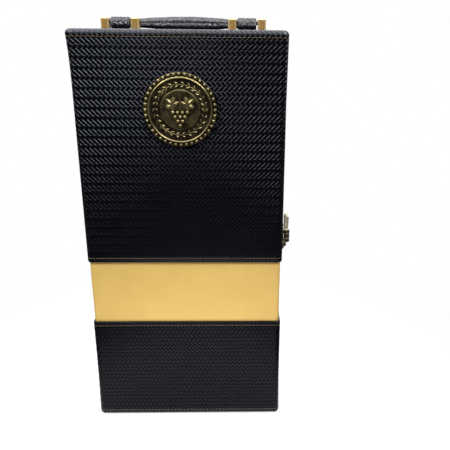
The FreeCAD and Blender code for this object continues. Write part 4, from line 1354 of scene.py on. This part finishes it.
class GIFTBOX_OT_handle(Operator):
    """Builds the padded handle, its seam and its brass posts"""

    bl_idname = "giftbox.handle"
    bl_label = "Handle"

    STRAP = (11.5 * MM, 8.0 * MM)
    GRIP = (14.5 * MM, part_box("handle")[1].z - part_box("handle")[0].z)
    ROLL = 4.9 * MM
    ROLL_DROP = 0.7 * MM
    ROLL_EASE = 0.9 * MM
    # Share of a roll's half length, and how much of its ease is taken off there
    ROLL_ENDS = ((-1.0, 1.0), (-0.97, 0.3), (-0.9, 0), (0.9, 0), (0.97, 0.3), (1.0, 1.0))
    SIDES = 28
    SQUARENESS = 2.4
    # Height and reach of the painted highlight line along the grip
    GLINT_LINE_PLACE = (0.3558, 1.7 * MM)
    # Painted shade at the posts' feet under the rolls: its tone, its strength and its reach above the top
    FOOT_SHADE_TONE = (0.03, 0.018, 0.006)
    FOOT_SHADE_STRENGTH = 1.0
    FOOT_SHADE_REACH = (0.7 * MM, 1.8 * MM)
    # Brass of the pins, darkened as painted shade in the gaps beside the rolls
    SHADED_PIN_BARE = (0.12, 0.08, 0.03)
    SHADED_PIN_DULL = (0.02, 0.013, 0.006)
    PIN_EASE = 0.2 * MM
    # What counts as the top of a post and as above the covering, and how deep a post stands in it
    NEAR_TOP, CLEAR, POST_SINK = 1 * MM, 0.1 * MM, 0.3 * MM
    # Depth and scale of the uneven stuffing and of the coarse grain
    STUFFING = ((0.22 * MM, 130), (0.2 * MM, 800))
    FOLD_DEPTH, FOLD_RATE = 0.3 * MM, 22
    FOLD_WANDER, WANDER_SCALE = 2.0, 220
    SEAM_DEPTH, SEAM_WIDTH = 0.4 * MM, 0.55 * MM
    SMOOTHINGS = 3

    def execute(self, context):
        handle = context.scene.giftbox_handle
        dyed = tuple(handle.colour)
        # Painted glints on the highest grains, and a painted highlight line along the grip
        leather = leather_material(
            "handle_leather", dyed, pebble=620.0, roughness=(0.16, 0.26), rubbed=0.3, glint_line=self.GLINT_LINE_PLACE
        )
        # Painted shade darkens the posts by their feet, under the rolls
        foot = (self.FOOT_SHADE_TONE, self.FOOT_SHADE_STRENGTH, *(BOX_TOP + reach for reach in self.FOOT_SHADE_REACH))
        colours = (tuple(handle.post_bare), tuple(handle.post_dull))
        brass = brass_material("post_brass", *colours, patch=300.0, metallic=0.35, low=foot)
        shaded = brass_material("pin_brass", self.SHADED_PIN_BARE, self.SHADED_PIN_DULL, patch=300.0)
        piece = add_piece("handle_skin", self.skin(handle), leather, "handle", ["handle"])
        for side in ("left", "right"):
            bracket, pin = (f"{side}_handle_{part}" for part in ("bracket", "pin"))
            add_piece(f"{bracket}_brass", self.posts(bracket, handle), brass, "tray", [bracket])
            mesh = weighted(softened_mesh(pin, self.PIN_EASE))
            add_piece(f"{pin}_brass", mesh, shaded, "tray", [pin])
        return {"FINISHED"}

    def posts(self, node, handle):
        """Two chamfered posts on their foot plate."""
        low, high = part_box(node)
        solid = node_bmesh(node)
        across = sorted(vertex.co.x for vertex in solid.verts if vertex.co.z > high.z - self.NEAR_TOP)
        foot = min(vertex.co.z for vertex in solid.verts if vertex.co.z > BOX_TOP + self.CLEAR)
        solid.free()
        left, right = max(zip(across, across[1:]), key=lambda pair: pair[1] - pair[0])
        bm = bmesh.new()
        wear = bm.loops.layers.float.new("wear")
        blocks = ((left, right, foot, False), (low.x, left, high.z, True), (right, high.x, high.z, True))
        for start, end, top, chamfered in blocks:
            size = Vector((end - start, high.y - low.y, top - BOX_TOP + self.POST_SINK))
            middle = Vector(((start + end) / 2, (low.y + high.y) / 2, top - size.z / 2))
            place = Matrix.Translation(middle) @ Matrix.Diagonal((*size, 1))
            made = bmesh.ops.create_cube(bm, size=1.0, matrix=place)
            if chamfered:
                edges = {edge for vertex in made["verts"] for edge in vertex.link_edges}
                eased = bmesh.ops.bevel(
                    bm, geom=list(edges), offset=handle.post_edge, segments=1, profile=0.5, affect="EDGES"
                )
                wear_faces(eased["faces"], wear)
        bmesh.ops.recalc_face_normals(bm, faces=bm.faces)
        return smooth(mesh_from(node, bm))

    def oval(self, middle, heading, swell, height):
        """Ring of the strap across its heading."""
        half_width, half_thick = (
            (strap + (grip - strap) * swell) / 2 for strap, grip in zip(self.STRAP, self.GRIP)
        )
        side = Vector((math.cos(heading), -math.sin(heading)))
        power = 2 / self.SQUARENESS
        ring = []
        for angle in angles(self.SIDES):
            wide, tall = math.cos(angle), math.sin(angle)
            wide = math.copysign(abs(wide) ** power, wide) * half_width
            tall = math.copysign(abs(tall) ** power, tall) * half_thick
            ring.append((*(middle + side * wide), height + tall))
        return ring

    def roll(self, path, side):
        """Rings of the leather roll round one pin."""
        level = path.pin.z - self.ROLL_DROP
        rings = []
        for share, eased in self.ROLL_ENDS:
            radius = self.ROLL - eased * self.ROLL_EASE
            x = side * path.leg_x + share * path.loop_half
            ring = circle(radius, self.SIDES)
            rings.append([(x, path.pin.y + deep, level + tall) for deep, tall in ring])
        return rings

    def skin(self, handle):
        """The strap and its two end rolls as one skin, creased at the bends and sewn underneath."""
        path = StrapPath(self.GRIP[0])
        bm = bmesh.new()
        strap = [self.oval(*stop, path.pin.z) for stop in path.stops()]
        for rings in (strap, self.roll(path, -1), self.roll(path, 1)):
            loft(bm, [[bm.verts.new(place) for place in ring] for ring in rings], flip=True)
        bmesh.ops.recalc_face_normals(bm, faces=bm.faces)
        host = linked("handle_form", mesh_from("handle_form", bm))
        remesh = host.modifiers.new("skin", "REMESH")
        remesh.mode = "VOXEL"
        remesh.voxel_size = handle.voxel
        mesh = applied(host)
        skin = bmesh.new()
        skin.from_mesh(mesh)
        axes = {"use_axis_x": True, "use_axis_y": True, "use_axis_z": True}
        for _ in range(self.SMOOTHINGS):
            bmesh.ops.smooth_vert(skin, verts=skin.verts, factor=0.5, **axes)
        skin.normal_update()
        moves = [self.crease(path, vertex) for vertex in skin.verts]
        for vertex, move in zip(skin.verts, moves):
            vertex.co += vertex.normal * move
        skin.to_mesh(mesh)
        skin.free()
        mesh.shade_smooth()
        return mesh

    def crease(self, path, vertex):
        """Height of the creases, the uneven stuffing and the seam at a point of the skin."""
        place = vertex.co
        offset = path.offset(place)
        uneven = sum(depth * noise.noise(place * scale) for depth, scale in self.STUFFING)
        folds = 0.0
        if abs(place.x) > path.half_grip and place.y > path.leg_end:
            turn = math.atan2(place.y - path.leg_end, abs(place.x) - path.half_grip)
            depth = max(-offset, 0.0) / path.grip_half_width
            wander = self.FOLD_WANDER * noise.noise(place * self.WANDER_SCALE)
            folds = self.FOLD_DEPTH * depth * math.sin(turn * self.FOLD_RATE + wander)
        under = max(-vertex.normal.z, 0.0)
        seam = self.SEAM_DEPTH * under * math.exp(-((offset / self.SEAM_WIDTH) ** 2))
        return uneven + folds - seam


class GIFTBOX_OT_inside(Operator):
    """Builds the lining, the pads, the divider and the neck rest, and finishes the boards"""

    bl_idname = "giftbox.inside"
    bl_label = "Inside"

    EASE = 1.2 * MM
    LINING_EASE, SHEET_EASE, DIVIDER_EASE = 0.2 * MM, 0.5 * MM, 1.0 * MM
    START_SHARE = 0.65
    PRESSURE = 4.0
    FRAMES = 20
    # Axis and number of cuts across a pad
    CUTS = ((0, 27), (2, 63))

    def execute(self, context):
        inside = context.scene.giftbox_inside
        flock = pile_material("lining_flock", tuple(inside.flock), brushing=40.0)
        velvet = pile_material("black_velvet", tuple(inside.velvet), brushing=70.0)
        grain = {"scale": 900.0, "detail": 6.0, "Distortion": 1.5}
        board = fibre_material("fibreboard", tuple(inside.board), share=0.6, roughness=0.85, **grain)
        dyed = tuple(context.scene.giftbox_weave.sheet_colour)
        sheet = leather_material("base_sheet", dyed, pebble=1600.0, roughness=(0.5, 0.62))
        for half in HALVES:
            lining = softened_mesh(f"{half}_lining", self.LINING_EASE)
            add_piece(f"{half}_flock_lining", lining, flock, half, [f"{half}_lining"])
            base = softened_mesh(f"{half}_base_cover", self.SHEET_EASE)
            add_piece(f"{half}_base_sheet", base, sheet, half, [f"{half}_base_cover"])
        for node, half in (("lid_pad", "lid"), ("tray_back_pad", "tray")):
            pad = self.filled(node, half, inside.give)
            piece = add_piece(f"{node}_velvet", pad, velvet, half, [node])
        rest = softened_mesh("neck_rest", self.EASE, segments=3)
        piece = add_piece("neck_rest_velvet", rest, velvet, "tray", ["neck_rest"])
        divider = softened_mesh("centre_divider", self.DIVIDER_EASE, segments=3)
        add_piece("centre_divider_velvet", divider, velvet, "tray", ["centre_divider"])
        for name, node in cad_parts.items():
            if name.endswith("_board"):
                node.data.materials.clear()
                node.data.materials.append(board)
        return {"FINISHED"}

    def filled(self, node, half, give):
        """A pad that starts thin, is glued at its back and fills out under cloth pressure."""
        low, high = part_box(node)
        wall = low.y if half == "lid" else high.y
        front = wall + (high.y + low.y - 2 * wall) * self.START_SHARE
        bm = bmesh.new()
        bmesh.ops.create_cube(bm, size=1.0)
        for vertex in bm.verts:
            back = vertex.co.y < 0
            vertex.co.x = low.x if vertex.co.x < 0 else high.x
            vertex.co.z = low.z if vertex.co.z < 0 else high.z
            vertex.co.y = min(wall, front) if back else max(wall, front)
        for axis, cuts in self.CUTS:
            edges = [edge for edge in bm.edges if abs((edge.verts[0].co - edge.verts[1].co)[axis]) > GLUE_GAP]
            bmesh.ops.subdivide_edges(bm, edges=edges, cuts=cuts, use_grid_fill=True)
        bmesh.ops.recalc_face_normals(bm, faces=bm.faces)
        start = [vertex.co.copy() for vertex in bm.verts]
        host = linked(f"{node}_form", mesh_from(f"{node}_form", bm))
        glued = [vertex.index for vertex in host.data.vertices if abs(vertex.co.y - wall) < GLUE_GAP]
        host.vertex_groups.new(name="glued").add(glued, 1.0, "ADD")
        cloth = host.modifiers.new("cloth", "CLOTH")
        cloth.settings.vertex_group_mass = "glued"
        cloth.settings.use_pressure = True
        cloth.settings.uniform_pressure_force = self.PRESSURE
        cloth.settings.effector_weights.gravity = 0.0
        cloth.point_cache.frame_start = 1
        cloth.point_cache.frame_end = self.FRAMES
        scene = bpy.context.scene
        for moment in range(1, self.FRAMES + 1):
            scene.frame_set(moment)
        mesh = applied(host)
        scene.frame_set(1)
        for vertex, place in zip(mesh.vertices, start):
            move = vertex.co - place
            if move.length > give:
                vertex.co = place + move * (give / move.length)
        soft = bmesh.new()
        soft.from_mesh(mesh)
        bmesh.ops.subdivide_edges(soft, edges=soft.edges, cuts=1, use_grid_fill=True, smooth=1.0)
        soft.to_mesh(mesh)
        soft.free()
        mesh.shade_smooth()
        return mesh


class GIFTBOX_OT_stage(Operator):
    """Places the camera, the floor, the lamps and the sky"""

    bl_idname = "giftbox.stage"
    bl_label = "Stage"

    TARGET = (0, -0.05, 0.22)
    SENSOR = 36.0
    CLIP = 0.01
    FLOOR_HALF = 2.5
    # How the pool of light on the floor is narrowed across
    POOL = (2.4, 1, 1)
    # From, to and the strength at both: the dark outside the pool and the white the floor fades into
    DUSK = (0.24, 0.42, 0.3, 1.0)
    FADE = (0.16, 0.3, 0.3, 1.0)
    # The same for the sky, towards the back and upwards
    BEHIND = (-0.1, 0.6, 0.06, 1.0)
    ABOVE = (0.3, 0.95, 0.0, 0.7)
    # Name, place, size and power of each softbox
    LAMPS = (
        ("top_light", (0.0, -0.35, 1.45), (1.6, 1.3), 24.0),
        ("right_light", (0.56, -0.56, 1.12), (0.5, 0.4), 8.2),
        ("left_light", (-0.76, -0.42, 1.06), (0.6, 0.45), 7.8),
    )

    def execute(self, context):
        stage = context.scene.giftbox_stage
        self.camera(context.scene, stage)
        self.floor(stage)
        self.sky(context.scene)
        for lamp in self.LAMPS:
            self.lamp(*lamp)
        context.scene.view_settings.view_transform = "Standard"
        return {"FINISHED"}

    def camera(self, scene, stage):
        """Camera at the photographed angle."""
        data = bpy.data.cameras.new("camera")
        data.lens = stage.lens
        data.sensor_width = self.SENSOR
        data.clip_start = self.CLIP
        data.shift_x, data.shift_y = stage.shift
        camera = linked("camera", data)
        turn = Matrix.Rotation(stage.yaw, 4, "Z")
        tilt = Matrix.Rotation(math.pi / 2 - stage.pitch, 4, "X")
        roll = Matrix.Rotation(stage.roll, 4, "Z")
        camera.matrix_world = Matrix.Translation(stage.place) @ turn @ tilt @ roll
        scene.camera = camera

    def floor(self, stage):
        """Pale floor round the box that fades into the white behind it."""
        bm = bmesh.new()
        bmesh.ops.create_grid(bm, x_segments=1, y_segments=1, size=self.FLOOR_HALF)
        floor = linked("floor", mesh_from("floor", bm))
        material, tree, shader, place = new_material("pale_floor")
        pale = tuple(stage.floor)
        near = between(tree, cloud(tree, place, scale=3.0), dimmed(pale, share=0.98), pale)
        camera_ray = add(tree, "ShaderNodeLightPath").outputs["Is Camera Ray"]
        values = {0: place, 1: self.POOL}
        wide = add(tree, "ShaderNodeVectorMath", values, operation="MULTIPLY").outputs["Vector"]
        distance, aside = (
            add(tree, "ShaderNodeVectorMath", {0: spot}, operation="LENGTH").outputs["Value"]
            for spot in (place, wide)
        )
        unseen = calc(tree, "SUBTRACT", 1.0, camera_ray)
        # Painted shade: outside a painted pool of light the floor turns dark to all but camera rays
        dusk = times(tree, ranged(tree, aside, *self.DUSK), unseen)
        dress(shader, Base_Color=between(tree, dusk, near, DARK_FLOOR), Roughness=0.7)
        white = add(tree, "ShaderNodeEmission", {"Color": (1, 1, 1, 1), "Strength": 1.0})
        seen = times(tree, ranged(tree, distance, *self.FADE), camera_ray)
        mix = add(tree, "ShaderNodeMixShader", {0: seen, 1: shader.outputs[0], 2: white.outputs[0]})
        output = next(node for node in tree.nodes if node.type == "OUTPUT_MATERIAL")
        tree.links.new(mix.outputs[0], output.inputs["Surface"])
        floor.data.materials.append(material)

    def sky(self, scene):
        """White backdrop and ceiling, and a dimmer room in front of the box."""
        world = bpy.data.worlds.new("studio")
        world.use_nodes = True
        tree = world.node_tree
        way = split(tree, add(tree, "ShaderNodeTexCoord").outputs["Generated"])
        behind = ranged(tree, way["Y"], *self.BEHIND)
        above = ranged(tree, way["Z"], *self.ABOVE)
        rays = add(tree, "ShaderNodeLightPath").outputs
        seen = calc(tree, "MAXIMUM", rays["Is Camera Ray"], rays["Is Transmission Ray"])
        ground = next(node for node in tree.nodes if node.type == "BACKGROUND")
        strength = calc(tree, "MAXIMUM", calc(tree, "ADD", behind, above), seen)
        dress(ground, Color=(1, 1, 1, 1), Strength=strength)
        scene.world = world

    def lamp(self, name, place, size, power):
        """A softbox facing the box."""
        data = bpy.data.lights.new(name, "AREA")
        data.shape = "RECTANGLE"
        data.size, data.size_y = size
        data.energy = power
        way = Vector(self.TARGET) - Vector(place)
        turn = way.to_track_quat("-Z", "Y").to_matrix().to_4x4()
        linked(name, data).matrix_world = Matrix.Translation(place) @ turn


class GIFTBOX_PT_panel(Panel):
    """Pieces of the gift box in the order they are built"""

    bl_idname = "GIFTBOX_PT_panel"
    bl_label = "Gift Box"
    bl_space_type = "VIEW_3D"
    bl_region_type = "UI"
    bl_category = "Gift Box"

    def draw(self, context):
        for operator in OPERATORS:
            self.layout.operator(operator.bl_idname)
        for name in SETTINGS:
            settings = getattr(context.scene, name)
            box = self.layout.box()
            for prop in settings.bl_rna.properties:
                if not prop.is_readonly and prop.identifier != "name":
                    box.prop(settings, prop.identifier)


SETTINGS = {
    "giftbox_weave": GIFTBOX_PG_weave,
    "giftbox_band": GIFTBOX_PG_band,
    "giftbox_stitching": GIFTBOX_PG_stitching,
    "giftbox_medallion": GIFTBOX_PG_medallion,
    "giftbox_handle": GIFTBOX_PG_handle,
    "giftbox_fittings": GIFTBOX_PG_fittings,
    "giftbox_inside": GIFTBOX_PG_inside,
    "giftbox_stage": GIFTBOX_PG_stage,
}
OPERATORS = (
    GIFTBOX_OT_stage,
    GIFTBOX_OT_coverings,
    GIFTBOX_OT_band,
    GIFTBOX_OT_stitching,
    GIFTBOX_OT_medallion,
    GIFTBOX_OT_handle,
    GIFTBOX_OT_fittings,
    GIFTBOX_OT_inside,
)
CLASSES = (*SETTINGS.values(), *OPERATORS, GIFTBOX_PT_panel)


def register():
    """Registers the classes and hangs the settings on the scene."""
    for cls in CLASSES:
        bpy.utils.register_class(cls)
    for name, cls in SETTINGS.items():
        setattr(bpy.types.Scene, name, PointerProperty(type=cls))


def unregister():
    """Takes the settings and the classes away again."""
    for name in SETTINGS:
        delattr(bpy.types.Scene, name)
    for cls in reversed(CLASSES):
        bpy.utils.unregister_class(cls)


def main():
    """Builds every piece."""
    register()
    shader_groups()
    for operator in OPERATORS:
        family, name = operator.bl_idname.split(".")
        getattr(getattr(bpy.ops, family), name)()


if __name__ == "__main__":
    main()
